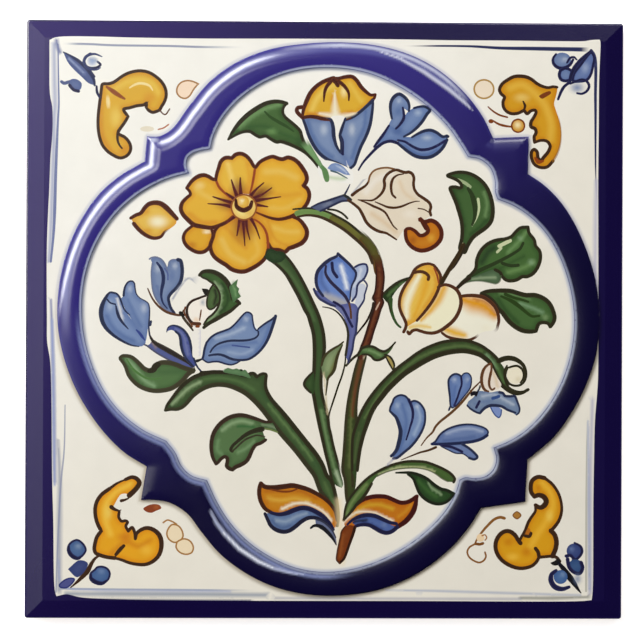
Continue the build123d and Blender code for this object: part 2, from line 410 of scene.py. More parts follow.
CIR2 = "177,541.5 183.5,538.5 189.5,540.5 193,546.5 191.5,552 186,554 179.5,552 175.8,547 176.5,542.5"
fill("f0dcb8", CIR2)
line("a87840", 1.5, CIR2, closed=True)

# ---- bottom right corner ----
BRY = (
    "538.6,476.1 544.2,477.3 551.4,482.9 557.6,491.7 560.6,500.9 561.2,510.1 558.6,519.4 554.5,525.5 550.4,529.8* 554,533.7 556,540.9 555,548.1 551.9,555.3* 545.3,555.8 538.6,556.3* 536,560.9 531.4,565"
    " 524.7,567.1 518.6,567.4 511.4,565.5 503.2,560.9 498.1,555.3 495.2,548.1 495.5,540.9 499.1,534.2 504.2,530.6 509.4,530.6 514.5,534.2 518.1,539.9* 520.6,536.8 524.7,529.6 527.8,521.4 530.9,516.3"
    " 535,510.1 534.8,504.5* 538.1,507.1 542.2,507.1 546.3,502.9 546.3,498.8 543.2,494.2 538.1,493.7 534,495.8* 530.9,491.7 530.2,486.5 531.4,480.4 535,477.1"
)
fill("db9d1a", BRY)
wash("ebb434", 12, "542,482 550,492 552,506 546,520 538,532 530,546", 0.85)
blob("c7790e", 508, 541, 8, 7)
blob("c7790e", 526, 551, 8, 8)
blob("c7790e", 538, 487, 5, 6)
blob("f0c854", 549, 515, 6, 9)
blob("eebb3f", 512, 556, 10, 6)
line(K, 4, "534,495.8 530.9,491.7 530.2,486.5 531.4,480.4 535,477.1 538.6,476.1 544.2,477.3")
line(K, (3, 2.6, 3.4), "544.2,477.3 551.4,482.9 557.6,491.7 560.6,500.9 561.2,510.1 558.6,519.4 554.5,525.5 550.4,529.8")
line(K, 4.5, "550.4,529.8 554,533.7 556,540.9 555,548.1 551.9,555.3")
line(K, (2.5, 3), "551.9,555.3 545.3,555.8 538.6,556.3")
line(K, (3, 3.6, 4, 4), "538.6,556.3 536,560.9 531.4,565 524.7,567.1 518.6,567.4 511.4,565.5 503.2,560.9 498.1,555.3 495.2,548.1 495.5,540.9 499.1,534.2 504.2,530.6 509.4,530.6 514.5,534.2 518.1,539.9 520.1,542.4")
line(K, (2.6, 3, 2.4), "519,540 520.6,536.8 524.7,529.6 527.8,521.4 530.9,516.3 535,510.1 534.8,504.5")
line(K, (4, 5, 5, 3.6), "534,495.8 538,494.3 543.2,496 545.8,500.5 543.5,505 539.5,506.8 535,504.3")
line(K, 3.5, "535,547.5 537.5,551 538.6,556")
fill("b7691c", "524.5,535 528,527 531,533 528.5,536")
line(K, 3, "524.5,535 529,535.5 530.5,532.5")
line(K, (2.5, 3.5), "545,555.5 551,555.3 556,556.5 559,560.5")
fill("1c1a18", "550,562 554,560 557.5,557.5 560,560.5 558,564 553,564.5")
line("14141c", (3, 5, 6, 4, 1), "558,562 563,568 568.5,575.5 574,583 578,589 580.5,592")
disc("3f4d7e", 573.5, 550, 7.5)
blob("6d80aa", 571, 548, 4, 4)
line(NV, (2, 2.6, 2.6, 2), "574,542 580,545.5 581.5,551 577,557.5 572,559")
line(NV, 3, "565.5,555 570,554.5 573,557.5")
disc("3d5983", 575, 565, 7.4, 6.6)
line(NV, 3.5, "567,558 568.5,566 573,571 579,572.5 582,567 580.5,561.5")
disc("4d6e9d", 560, 576, 7)
blob("7b93b4", 562, 573.5, 4, 4)
line(NV, (3, 5, 5, 3), "555.5,569.5 551,573.5 550.5,580 554.5,586 562,588 568.5,586")
blob("6d80a3", 577, 578, 6, 8, 0.8, clip=False)
disc("ac7836", 516.5, 514.5, 4, 3.6)
line("7a4a20", 1.0, "520.5,514.5 516.5,518.1 512.5,514.5 516.5,510.9", closed=True)
line("8a5a2a", (2.8, 2.4, 1.6), "504,517.5 500,516.5 494,518.5 487.5,524.5 481,532 475.5,540.5 474.5,543.5")
line("7a4a20", 2.6, "475,543 479.5,543.5 482.5,542.5")
line("8a5a2a", 1.7, "474,543.5 469,546.5 466.8,551 468.5,556 473.5,560 479,561.7 483.5,559.5 485.5,555.5 484.5,551.5")
disc("f0d2a8", 480, 537, 4)
line("a8703a", 1.2, "481.5,535 484.5,534 486.3,537 484.5,539.5")

# ---- leaf at the top ----
TOPL = (
    "228.5,140* 233,132 239,124 247,116 256,109.5 266,104 275,102 282,102.5* 287,104 284,107.5 283,112.5 285,117 290,121.5 296,126.5 300.5,131.5 302,137 306,146 312,153 318,160 324,167*"
    " 319,168 314,161.5 306,153.5 298,148.5 289,144.5 281,142 277,142.5 271,139.5 266,136.5 260,137.5 255,135 250,132 243,132.5 236,135.5"
)
fill("456534", TOPL)
wash("789e64", 9, "240,127 252,117 266,109 280,105", 0.75)
wash("305429", 8, "250,127 266,127 282,134 298,140", 0.7)
blob("6d9556", 272, 132, 9, 5)
blob("2c4923", 300, 144, 8, 7)
line(KG, (2, 4, 4.5, 4, 3.4), "228.5,140 233,132 239,124 247,116 256,109.5 266,104 275,102 282,102.5 287,104")
line(KG, (2.4, 3, 3, 3, 2), "287,104 284,107.5 283,112.5 285,117 290,121.5 296,126.5 300.5,131.5 302,137 306,146 312,153 318,160 324,167")
line(KG, (2.6, 3, 3.4, 3, 3, 2), "319,168 314,161.5 306,153.5 298,148.5 289,144.5 281,142 277,142.5 271,139.5 266,136.5 260,137.5 255,135 250,132 243,132.5 236,135.5 228.5,140")
line("2f4a22", (1.6, 3, 3, 1.4), "265,112 270,117 278,122 287,127 294,132")

# ---- yellow and blue flower at the top ----
HOOD = (
    "302.5,117* 304,109 307,101 311,93 317,86.5 323,82.5 329,80 334,78.5 339,79 343,78 349,77 353,77.5 357,81 361,87 366,92 371,95.5* 375.5,95* 374.5,98.5 371,102 367,106.5 361,112 355,116.5 350,118"
    " 342,119.5 333,120 329,119.5 322,119 316,117.5 310,117 303,118"
)
fill("ddac31", HOOD)
wash("e9c65b", 10, "312,110 318,98 326,90 336,85", 0.85)
wash("e5bd4d", 9, "350,84 356,94 362,102", 0.8)
wash("cf8523", 6, "308,114 320,114 336,115 352,112", 0.7)
blob("fae9a8", 344, 92, 5, 9)
blob("ce811f", 334, 100, 6, 9)
line(KY, (2.6, 4.4, 3.8, 3.8), "302.5,117 304,109 307,101 311,93 317,86.5 323,82.5 329,80 334,78.5")
line(KY, (3.1, 3.8, 3.8, 2.6), "334,79 339,79 343,78 349,77 353,77.5 357,81 361,87 366,92 371,95.5 375.5,95")
line(KY, (2.6, 3.1, 2.6), "375.5,95 374.5,98.5 371,102 367,106.5 361,112 355,116.5 350,118")
line(KY, 3.8, "302.5,107.5 298,108.5 297,111.5 300,115.5 303,118")
line(KY, (3.8, 3.1, 1.3), "331,82 327,87 325,92 324,102")
line(KY, (3.8, 3.1, 1.5), "339,82 345,87 349,94 349,101")
line(KY, (5.1, 3.8), "334,80 336.5,83 338,86")
LBP = "303,119 306,127 309,136 314,146 320,154 328,160 338,164 347,168.5* 346,160 343,154.5 339,149 336,143 334,136 333.5,127 331,120.5 323,119.5 312,118"
fill("7b8eb0", LBP)
wash("4f699a", 9, "308,122 313,136 321,148 332,157", 0.7)
blob("b7c1cf", 324, 130, 6, 9)
RBP = "344,121* 352,118 360,112.5 368,105.5 373,101 373,106 372,115 370,126 366,137 361,147 357,158 354.5,165 350,169* 346,160 343,154.5 343,147 342.5,141 340,135 341,128"
fill("7b8eb0", RBP)
wash("4f699a", 7, "366,112 364,128 357,143 352,158", 0.75)
blob("c0c8d3", 352, 130, 5, 10)
MIDP = "331,120.5 338,121 344,121 341,128 340,135 342.5,141 343,147 343,154.5* 339,149 336,143 334,136 333.5,127"
fill("9aa8c3", MIDP)
blob("e4e8ee", 338, 130, 3, 8)
line(KB, (2.6, 3.4, 3.4, 3), "303,119 306,127 309,136 314,146 320,154 328,160 338,164 347,168.5")
line(NV, (3, 4, 4, 2.6), "323,119.5 331,120.5 333.5,127 334,136 336,143 339,149 343,154.5")
line(NV, (2, 3, 2.4), "343,154.5 343,147 342.5,141 340,135 341,128 344,121")
line(KB, (2.4, 3, 3, 3), "344,121 352,118 360,112.5 368,105.5 373,101")
line(KB, (2.4, 3.2, 3, 2.6), "373,101 373,106 372,115 370,126 366,137 361,147 357,158 354.5,165 350,169")
line(KY, (3.1, 3.8, 3.8, 3.1), "303,118 310,117 316,117.5 322,119 329,119.5 333,120 342,119.5 350,118")
fill("415f77", "320,165 327,163 335,166 343,170 350,173 350,181 342,180 333,176 325,174 320,171")
blob("30542e", 326, 171, 7, 7, 1.0)
blob("7b9e73", 343, 176, 8, 4)
line(("4a7a44", "6a9a5a"), (2, 2.6, 1.2), "329,172 338,173 344,176 348,178")
line(KB, (1.5, 2.4, 2), "320,165 320,171 325,174 333,176")

# ---- the top flower's middle and the tuft below it ----
wash("f3ebd0", (2, 6, 11, 15), "335,92 335,101 335.2,110 336,117", 0.95, clip=False)
wash("f3ebd0", (4, 8, 9, 8, 3), "319,113.8 328,115.4 337,116.8 346,116 356,113.6", 0.9, clip=False)
fill("f1ede2", "331.3,117.5 333.5,127 334.8,137 337,146 340.5,151.5 341,143 339.8,136 341.5,128 345,117.5")
line(KB, (1, 3.2, 3.4, 3, 2), "326,118.4 331,119.8 333.4,127 334.2,137 336.4,146 340.6,153", fade=(0.1, 0))
line(KB, (2, 3, 2.6, 2), "345.5,119 342,129 340.1,136 341.5,143 341.2,152")
blob("6b80b2", 347.6, 163, 3, 5, 1.0, clip=False)
fill("f3f0e7", "319.5,163 326,160.6 349.5,168.6 353,172 352.5,183 345,183.5 330,179.5 319,175")
wash("c3d2ac", (6, 8, 7), "329.5,177.5 337,178.8 345,178.6", 0.85, clip=False)
fill("8ea2c6", "327.5,168.5* 331,164.5 336,163.3 342,165.8 347,170.5 350.5,175.5* 345,174.8 338,171.8 332,171")
wash("c6d0e0", (2, 3.4, 2), "336,165.8 341.5,168.4 346.5,173", 0.85, clip=False)
line(("40596a", "56706a"), (1.6, 1.5, 0.8), "331,171 338,173.2 343.5,176.4 347.5,178.6")
line(("769c66", "4f7444"), (8.5, 6.4, 4.2, 3.4), "303,140.5 309,149 316,158.5 323,169", fade=(0.25, 0))
line(("5a824c", "6f9460"), (3, 5.2, 6, 4.6), "322.5,167 325,171.5 326.2,176 327,180")

# ---- blue spray at the upper right ----
SP1 = "392,119* 390.5,110 391,103 394,97.5 399,94.5 403.5,96.5 408,101.5 409.5,107 409,111.5 403,108* 404,118 400,125 396,129 389,126"
fill("7e91b4", SP1)
blob("516a99", 398, 112, 6, 9)
blob("b3bfcf", 399, 101, 4, 4)
SP2 = "414,108.5 420,107 425,107 430,110.5 427,114.5 423,121 418,127 411,133 404,137 412,137.5 400,141 391,141.5 384,143 377,147 384,134 389,126 396,129 400,125 404,118 408,112"
fill("7389b1", SP2)
blob("486092", 398, 132, 9, 7)
blob("a8b7cb", 418, 113, 6, 5)
SP3 = "404,139 412,137.5 418,134 425,131 431,130.5 437,133 443,137 447,136 447,140* 443.5,147 438,153 431,157 424,158 416,156.5 409,152.5 402,147 397,143"
fill("758bb3", SP3)
wash("496296", 6, "405,146 415,153 427,155 437,150", 0.7)
blob("b3bfcf", 427, 138, 8, 4)
line(KB, (2, 3, 3.4, 3, 2), "392,119 390.5,110 391,103 394,97.5 399,94.5 403.5,96.5 408,101.5 409.5,107 409,111.5")
line(KB, (2, 3, 3, 2), "414,108.5 420,107 425,107 430,110.5 427,114.5 423,121 418,127 411,133 404,137")
line(NV, (2, 3, 2.4), "389,126 384,134 378,142 374.5,147")
line(NV, (2, 3, 2), "403,108 404,118 400,125 396,129")
line(KB, (2, 3, 3, 2.6), "412,137.5 418,134 425,131 431,130.5 437,133 443,137 447,136")
line(KB, (3, 3.4, 3.4, 2.6), "447,140 443.5,147 438,153 431,157 424,158 416,156.5 409,152.5 402,147 397,143")
line(NV, (2, 3, 2.4), "398,140.5 405,142 413,147 421,150 430,149 438,145.5 445,141")
line(NV, (1.6, 2.6, 3, 3), "358.5,170.5 363,163 370,155 377,148 384,143 391,141.5 398,143.5")
disc("222840", 447.5, 136.8, 2, 1.6)

# ---- loose petal and small ball at the left ----
LP = "131,218.5* 136,215.5 141,213.5 145,208 149,204.5 155,203 161,204 166,207.5 171,212.5 177,219* 176,224 171,228.5 165,232 161,237 154,238.5 146,235.5 139,230 134,224"
fill("e3b94f", LP)
blob("f6ecc8", 158, 222, 14, 9, 1.0)
blob("d5952a", 146, 212, 7, 5)
blob("d5952a", 148, 231, 8, 4)
line(KY, (3.1, 3.8, 4.4, 5.1, 3.8), "131,218.5 136,215.5 141,213.5 145,208 149,204.5 155,203 161,204 166,207.5 171,212.5 177,219")
line(KY, (3.8, 3.8, 3.1, 1.5), "134,224 139,230 146,235.5 154,238.5 161,237 165,232 171,228.5", fade=(0, 0.2))
BALL = "193,226 190,228 185,233 183.5,239 186,245 191,249.5 198,252.5 204,252 209,248 212,241 213,234 211,228 203,225"
fill("dda62d", BALL)
blob("fbf2d0", 207, 231.5, 6, 3.6, 1.0)
blob("bf761b", 192, 245, 8, 5)

# ---- big yellow flower ----
PL = "216,180* 213,179.5 209,177 204,175.5 198,177 192,181.5 187,188.5* 190,192 190.5,195 187,198 182.5,203 181,209 183,214.5 188,220 194,225 203,227 212,228 220,225.5 228,221.5 234,216 232,207 232,198 224,192.5 219,187"
fill("e3b038", PL)
wash("eaca69", 10, "196,190 206,196 218,202 228,206", 0.42)
wash("d58f26", 8, "190,214 202,222 216,222", 0.7)
blob("f8e8a8", 200, 186, 8, 6, 0.4)
PTp = "216,180* 217,174 219,168 221,162 225,158.5 229,158 232,158.5* 236,155 241,154 246,156 250,160 254,166.5 255.5,168 254,177 252,187 250,194 241,194 231,198 224,192.5 219,187"
fill("e5b63f", PTp)
wash("f8e08a", 9, "228,164 232,178 236,190", 0.42)
wash("dd9f2d", 7, "247,164 249,178 246,190", 0.7)
PUR = "256,167.5 260,162.5 266,159 273,157 279,159 283,159.5 288,157.8 294,159.5 299,163.5 303,169 306,174 307,180* 304,186* 307.5,189 309.5,195 308,202 304,208 297,214 289,217.5 279,219.5 270,218 262,215 256,212.5 254,205 251,195 252,187 254,177"
fill("e3ae34", PUR)
wash("ebcd70", 12, "266,172 282,172 296,178", 0.42)
wash("d8972a", 10, "262,190 282,196 300,194", 0.6)
wash("e9c662", 8, "270,208 286,208 300,200", 0.42)
PLR = "293,217 299,219.5 304,225 307,231.5 306,238 302,243 296,246 289,248.5* 285,252 279,250 272,249 268,243 268,238 266.5,233 263,226.5 257,221 250,218.5 256,212.5 270,218 279,219.5 289,217.5"
fill("e2ad36", PLR)
wash("eaca69", 9, "274,228 288,232 298,232", 0.42)
wash("d38c23", 6, "268,222 276,240 288,246", 0.6)
PBT = "268,250 266,257 260,263.5 252,268.5 245,271.5 238,271.5 231,269 226,265 220,261.5 214,256.5 211,250.5 210.5,245 213,238 215,231 219,226 228,221.5 234,216 240,218 250,218.5 257,221 263,226.5 266.5,233 268,242"
fill("e2ac34", PBT)
wash("eacd70", 11, "222,240 230,254 244,262", 0.42)
wash("e9c25d", 8, "254,236 258,252 250,262", 0.42)
wash("d58f26", 8, "226,228 236,238 246,248", 0.6)
FL = ("8e3a1c", "b0602a")
line(KY, (3.3, 4.1, 3.1), "216,180 213,179.5 209,177 204,175.5 198,177 192,181.5 187,188.5")
line(KY, (2.6, 3.8, 4.4, 3.8, 3.1), "187,188.5 190,192 190.5,195 187,198 182.5,203 181,209 183,214.5 188,220 194,225 203,227 212,228 220,225.5 228,221.5 233,217")
line(FL, (2.4, 2.6, 1.4), "216,180 219,187 224,192.5 230,198")
line(KY, (3.1, 3.8, 3.8, 3.3), "216,180 217,174 219,168 221,162 225,158.5 229,158 232,158.5* 236,155 241,154 246,156 250,160 254,166.5 255.5,168")
line(FL, (2.4, 2.4, 1.4), "255,170 254,177 252,187 250,194")
line(KY, (3.3, 3.8, 4.1, 3.8, 3.8), "256,167.5 260,162.5 266,159 273,157 279,159 283,159.5 288,157.8 294,159.5 299,163.5 303,169 306,174 307,180 304,186* 307.5,189 309.5,195 308,202 304,208 297,214")
line(KY, (3.8, 3.3, 2.6, 1.8), "297,214 289,217.5 279,219.5 270,218 262,215 256,212.5")
line(KY, (3.1, 4.1, 4.4, 3.8, 3.1), "293,217 299,219.5 304,225 307,231.5 306,238 302,243 296,246 289,248.5* 285,252 279,250 272,249 268,243")
line(FL, (1.4, 2.4, 2.6), "250,218.5 257,221 263,226.5 266.5,233 268,242 268,250")
line(KY, (3.3, 4.1, 4.1, 3.8, 3.1), "268,250 266,257 260,263.5 252,268.5 245,271.5 238,271.5 231,269 226,265 220,261.5 214,256.5 211,250.5 210.5,245 213,238 215,231 219,226")
line(KY, (2.6, 3.6, 3.6, 2.6), "211,228 213,234 212,241 209,248 204,252 198,252.5 191,249.5 186,245 183.5,239 185,233 190,228 193,226")
blob("b9581c", 244, 207, 30, 27, 0.6, clip=False)
blob("7c2f18", 244, 227, 18, 24, 0.9, clip=False)
blob("5a2222", 259, 196, 21, 12, 0.9, turn=-32, clip=False)
blob("7c2f18", 229, 204, 19, 10, 0.75, clip=False)
blob("702a1c", 238.5, 190, 11, 17, 0.75, clip=False)
RAY = ("4a1a1c", "7a3024")
for w_, p_ in (
    ((3.9, 1.2), "237,196 234,188 231.5,180"),
    ((3.9, 1.2), "241,195 240.5,186 240.5,178"),
    ((3.9, 2, 1.2), "250,197 256,190 264,183"),
    ((3.6, 2, 1.2), "252,199 262,195 272,188"),
    ((3.9, 2, 1.0), "255,201 268,199 281,197"),
    ((3.3, 1.2), "256,205 262,206 268,207"),
    ((3.6, 2, 1.0), "246,219 247,228 250,240"),
    ((3.3, 1.2), "240,219 238.5,228 237,236"),
    ((3.6, 2, 1.0), "243,220 244,232 245,246"),
    ((3.6, 2, 1.0), "250,217 256,228 260,239"),
    ((3.6, 1.2), "236,216 231,220 226,224"),
    ((3.9, 2, 1.0), "232,207 222,205 208,204"),
    ((3.6, 1.2), "232,203 222,200 213,197"),
    ((3.6, 1.2), "234,199 230,196 226,193"),
):
    line(RAY, w_, p_)
disc("f3df8a", 244, 207.5, 12.5)
blob("ddac3f", 249, 212, 8, 7)
line(("8a4a20", "a8642c"), 1.5, "244,195 252.8,198.7 256.5,207.5 252.8,216.3 244,220 235.2,216.3 231.5,207.5 235.2,198.7", closed=True)
disc("e5bf52", 243, 202.4, 6.4)
line(("3a180e", "6a3018"), (2.4, 4.4, 4.6, 3), "236,200 237,207 243.5,210.5 250,207.5 252,202")
blob("fbf3cc", 242, 201, 3, 3)

# ---- stalk from the big flower to the middle ----
line(("6b8a4a", "7f9a5a"), (5, 6.5, 7), "297,213.5 305,212 315,212.5 325,215 335,220")
line(("6b6a2c", "5a4a20"), (7, 7, 7), "333,219 345,225.5 355,233 365,241.5")
line(("6b4a1c", "4a2a18"), (7, 8, 8), "363,240 372,250 376,260 378.5,272")
line(KG, (1.6, 2, 2.2, 2.4, 2.6), "293,209.5 305,208.4 315,209 326,211.5 337,216.5 347.5,222.5 357.5,230.5 367.5,239.5 375,248.5")
line(("3a2a18", "4a3a20"), (2, 3, 3, 3), "298,217 306,215.5 315,216 324,218.5 333,223 343,229 352.5,236.5 362,245 368.5,253 372.5,263")
line(KG, 2, "328,209.5 336,210.5 343,214 347.5,218.5")

# ---- tube and cream flower ----
fill("5f6781", "311.2,207.6* 319.4,203.5 327.6,200.9 336.8,197.8 344.5,195.3 350,198* 348.1,200.9 341.9,201.4 334.7,204.5 327.6,208.1 320.4,211.2")
blob("848b9d", 328, 204, 9, 3, turn=-18)
line(("262a44", "3a4060"), (1.6, 2.2, 2.2), "311.2,207.6 319.4,203.5 327.6,200.9 336.8,197.8 344.5,195.3")
line(("262a44", "3a4060"), (1.8, 2.2, 2), "320.4,211.2 327.6,208.1 334.7,204.5 341.9,201.4 348.1,200.9")
line(("262a44", "3a4060"), (2, 1.6, 0.8), "344.5,195.3 347.1,190.6 350.1,184.5")
CF = (
    "350,198* 358.3,190.6 365.5,186 368.6,181.9 370.1,175.8 373.7,171.2 378.8,168.9 387.3,167.9 396.5,170.1 401.7,171.7 405.8,172.7 408.8,172.2 412.4,174.2 414,178.3 413.5,184.5 414.5,189.6 418.1,194.7"
    " 424.2,198.8 429.4,202.9 430.9,207.1 429.9,211.2 431,215 426,219 423,224 427,231 424,236 419,237 412,231 405,229 401,234 397,239.7* 391.4,236.3 386.3,233.2 379.1,231.5 371.7,227.6 366.5,222.4 362.9,215.3"
    " 359.4,209.1 354.2,204.5"
)
fill("e6d8c0", CF)
wash("efe7d9", 12, "366,192 376,180 392,174", 0.8)
wash("dbc19c", 9, "372,214 384,222 396,232", 0.75)
wash("dfc7a4", 7, "400,182 404,192 414,200", 0.7)
blob("ede3d1", 410, 214, 12, 8)
wash("9c9eaa", 3, "351.7,194.7 358,187 363.5,180.4", 0.8, clip=False)
line(("262a2c", "3a3a30"), (2.4, 3, 2.4), "344.5,195.5 348,197.6 351,200")
line(KC, (3, 2.6, 2), "352.2,195.3 358.3,190.6 365.5,186 368.6,181.9")
line(("7a5230", "8f6a44"), 1.8, "368.6,181.9 370.1,175.8 373.7,171.2 378.8,168.9 387.3,167.9 395.5,169.6")
line(KC, (1, 2, 3, 2.6, 3, 2.6, 3, 2.6), "358,200 365.5,200.4 372.7,200.4 379.1,196.3 382.2,192.7 384.2,188.6 384.7,184.5 384.2,180.4 386.3,175.8 390.4,172.2 396.5,170.1 401.7,171.7 405.8,172.7 408.8,172.2 412.4,174.2 414,178.3 413.5,184.5 414.5,189.6 418.1,194.7 424.2,198.8 429.4,202.9 430.9,207.1 429.9,211.2 430.9,215.3")
line(KC, 1.2, "418,208.5 424,209.5 429,212.5")
line(KC, (1, 2.8, 2), "403.7,174.2 397.6,175.3 393.5,178.3 391.4,183.5 391.2,189.6 392.4,194.7 395.5,197.8")
line(KC, (1, 2.4, 2, 0.8), "375,201.9 381.2,204.5 387.3,207.1 394.5,207.9 401.7,206.5 408.8,203.5 416,201.4 419.6,201.4")
line(KC, (1, 2.4, 2, 1.2), "358.3,199.9 366.5,202.9 373.7,206.5 380.1,209.1 385.3,212.7 389.4,219.4 392.9,225.5 397.1,229.6")
line(KC, (2.4, 3, 3, 1.5), "348.1,200.4 354.2,204.5 359.4,209.1 362.9,215.3 366.5,222.4 371.7,227.6 379.1,231.5 386.3,233.2 391.4,236.3 396.5,239.7")

# ---- orange crescent ----
CR = "406,229.5 410,228.5 415,231 420,235.5 425,234.5 428,231 426,226* 420,219* 424,222 431,220.5 437,223.5 441,230 441,238 436,245 428,249.5 420,250.5 412,247 407,241 405.5,234"
fill("c57b1c", CR)
blob("dda438", 431, 238, 6, 7)
blob("a05415", 413, 240, 6, 6)
line(("4a1d10", "6a2a14"), (3, 4, 4, 4, 3.4), CR.replace("*", ""), closed=True)
line(("4a1d10", "6a2a14"), (1, 4), "419.1,218.3 422.2,223.5 426.3,228.6")

# ---- curved leaf right of the flowers ----
CL = (
    "447.3,175.8* 454,173 462.2,172.3 470.4,174 478.6,178.6 485.3,185.4 489.9,194.6 492.4,205 492.7,213.2 490.9,221.4 485.8,227.6 478.6,232.7 472.4,237.8 467.3,246 464.2,252.2* 460,249 461.7,238.8 462.2,229.6"
    " 461.2,220.4 458.6,211.2 456,202.9 453,195.8 450.2,188* 455,187 459.5,188 461.5,187 461.2,184.5 458.1,180.9 453,178.3"
)
fill("426032", CL)
line("d5deae", (2.5, 2, 1), "478,199 479,207 478,214 475,221 472,226", alpha=0.8)
line("a9b98a", 3, "458,180 465,183 470,187", alpha=0.85)
wash("243b1b", 8, "453,192 457,202 460,214 463,228", 0.9)
wash("73935d", 6, "484,192 487,204 485,216", 0.7)
wash("2c4823", 5, "470,234 478,228 486,220", 0.8)
line("2b3a1c", (3, 5, 4, 2), "468,188.5 471.5,194 474,202 475,210 474.5,218 472,225")
line(KG, (3, 3.6, 4, 3.6, 3.4, 3), CL.replace("*", ""), closed=True)
line(("2a2014", "3a2e1c"), (5, 4, 3.4, 3), "463,245 461,252 457.5,259 453,266 446.5,273 441,283")
line("b9b98a", 1.2, "462.8,243 461.2,249", alpha=0.8)

# ---- leaf reaching right ----
L2 = (
    "456.5,288.1* 462.2,281.9 469.4,275.8 475.5,268.6 476.5,260.4 479.6,252.2 484.7,246 490.9,241.9 498.1,239.7 505.3,238.8 511.4,236.3 515.5,231.7 520.6,227.6 527.8,227* 528.8,232.7 532.9,237.8 534.4,240.5"
    " 535.4,245.6 539.5,250.8 540.3,257.9 537.9,266.2 532.8,273.3 526.7,276.4 522.1,276.4 516.9,279.5 511.3,280.7 506.2,280 502.1,276.4 500,272.3 495,269.6* 485,273 470,279"
)
fill("456633", L2)
wash("253821", 12, "482,262 488,252 494,248", 0.85)
wash("73975d", 7, "508,252 520,240 526,232", 0.7)
wash("6d9054", 8, "508,272 522,268 534,262", 0.75)
wash("2c4823", 6, "500,268 512,262 524,256", 0.6)
line("dfe3b5", 3.4, "499,246 505,243 510,240.5", alpha=0.8)
line("dfe3b5", 2.4, "497,252 501,248", alpha=0.7)
blob("87a57c", 520, 238, 4, 4)
blob("87a57c", 531, 262, 5, 5)
line("2b3a1c", (4, 3.6, 3, 2.5), "468,277 480,270 492,264.5 503,259 513,253.5 520,248.5 523,243")
line("2b3a1c", 3, "502,263 510,265.5 518,265")
fill("5d7653", "495,269.6 500.6,275.8 499.6,280.9 496,283.5 489.9,282.4 481.7,280.9 473.5,280.9 465.3,282.9 457,288.5 466,280 480,274")
wash("92a47e", 4, "472,279 484,277.5 495,277", 0.8)
line(KG, (2.6, 3.2, 3.4, 3.2, 3), "456.5,288.1 462.2,281.9 469.4,275.8 475.5,268.6 476.5,260.4 479.6,252.2 484.7,246 490.9,241.9 498.1,239.7 505.3,238.8 511.4,236.3 515.5,231.7 520.6,227.6 527.8,227")
line(KG, (3, 3, 3.4, 3.2, 3), "527.8,227 528.8,232.7 532.9,237.8 534.4,240.5 535.4,245.6 539.5,250.8 540.3,257.9 537.9,266.2 532.8,273.3 526.7,276.4 522.1,276.4 516.9,279.5 511.3,280.7 506.2,280 502.1,276.4 500,272.3 495,269.6")
line("4a5a3c", (1.6, 1.4, 1), "500.6,275.8 499.6,280.9 496,283.5 489.9,282.4 481.7,280.9 473.5,280.9 465.3,282.9 457,288.5", alpha=0.7)
line(("2a2014", "3a2e1c"), (3, 2.4), "457,288 463,283 470,278")

# ---- lower right leaf ----
L3 = (
    "481.2,293.2* 486.8,291.2 498.1,290.3 511.4,290.9 517.4,292.8 525.6,294.9 534.9,294.9 543.1,297.9 549.2,303.1 552.8,310.3 554.4,317.4 552.8,322.6 549.9,326.2* 547.7,323.1 543.1,322.1 539,323.1 536.9,326.7"
    " 535.9,330.6* 529.7,331.3 522.6,330.3 515.4,326.7 508.2,320.5 502.1,312.3 498.1,308.6 494,302.4 488.8,297.3"
)
fill("456534", L3)
wash("7b9c73", 7, "520,303 533,308 542,312", 0.8)
wash("2c4823", 7, "498,298 506,310 518,322", 0.75)
wash("698c56", 6, "500,293 514,295 530,299", 0.6)
blob("7f9b68", 545, 317, 5, 5)
wash("22301a", 8, "488,298 492,303 498,309", 0.9)
line("2b4018", (3, 2.6, 2), "505,294 514,297.5 522,299.5 528,301.5")
line("2b4018", (2, 4, 3, 2), "501,296 511,300.5 519,306 526,312 532,316 539,315.5")
line(KG, (3.4, 4.2, 4.4, 4, 3.6), "481.2,293.2 486.8,291.2 498.1,290.3 511.4,290.9 517.4,292.8 525.6,294.9 534.9,294.9 543.1,297.9 549.2,303.1 552.8,310.3 554.4,317.4 552.8,322.6 549.9,326.2")
line(KG, (3, 3.6, 4.4, 4.4, 4, 3.4), "549.9,326.2 547.7,323.1 543.1,322.1 539,323.1 536.9,326.7 535.9,330.6* 529.7,331.3 522.6,330.3 515.4,326.7 508.2,320.5 502.1,312.3 498.1,308.6 494,302.4 488.8,297.3 481.2,293.2")

# ---- yellow fruit flower ----
FP1 = "433.7,265* 429,263.6 422.4,264.5 417.3,267.1 414.2,270.1 412.2,274.2 409.1,279.4 405,285.5 401.4,292.7 399.4,299.9 399.4,307 401.4,313.2 404.5,319.4 406,323.5 405.5,327.6* 411,324 416.8,320.4 421.4,315.3 426.5,309.1 431.7,301.9 435.8,294.7 438.8,287.6 440.4,281.4 440.4,275.3 437.8,270.1"
fill("e6bb4e", FP1)
wash("e2a52c", (8, 12, 9, 5), "428,270 426,285 421,300 414,316", 0.85)
wash("d9972a", (4, 8, 8, 4), "432.6,270.8 436,284 431,297 424,307", 0.7)
wash("f4eece", (8, 13, 13, 9), "419,275.4 411.6,289.7 406.4,304 406.5,317.3", 1.0)
FP2 = "438,287* 444,284.5 448.1,285 453.2,287.1 457.3,290.6 459.9,295.8 460.9,301.9 459.9,308.1 456.8,315.3 452.2,321.4 446,326.5 439.9,330.6 433.7,332.7 427.6,332.7 421.4,331.2 416.3,329.6 412.2,330.6 409.1,333.7* 406,328* 411,324 416.8,320.4 421.4,315.3 426.5,309.1 431.7,301.9 435.8,294.7"
fill("f2ecca", FP2)
wash("e3a82e", (13, 15, 11, 6), "444,287.5 438.5,299 431,309.5 421,320", 0.95)
wash("e8bf5c", (8, 8, 5), "410,327 419,325.5 430,327", 0.85)
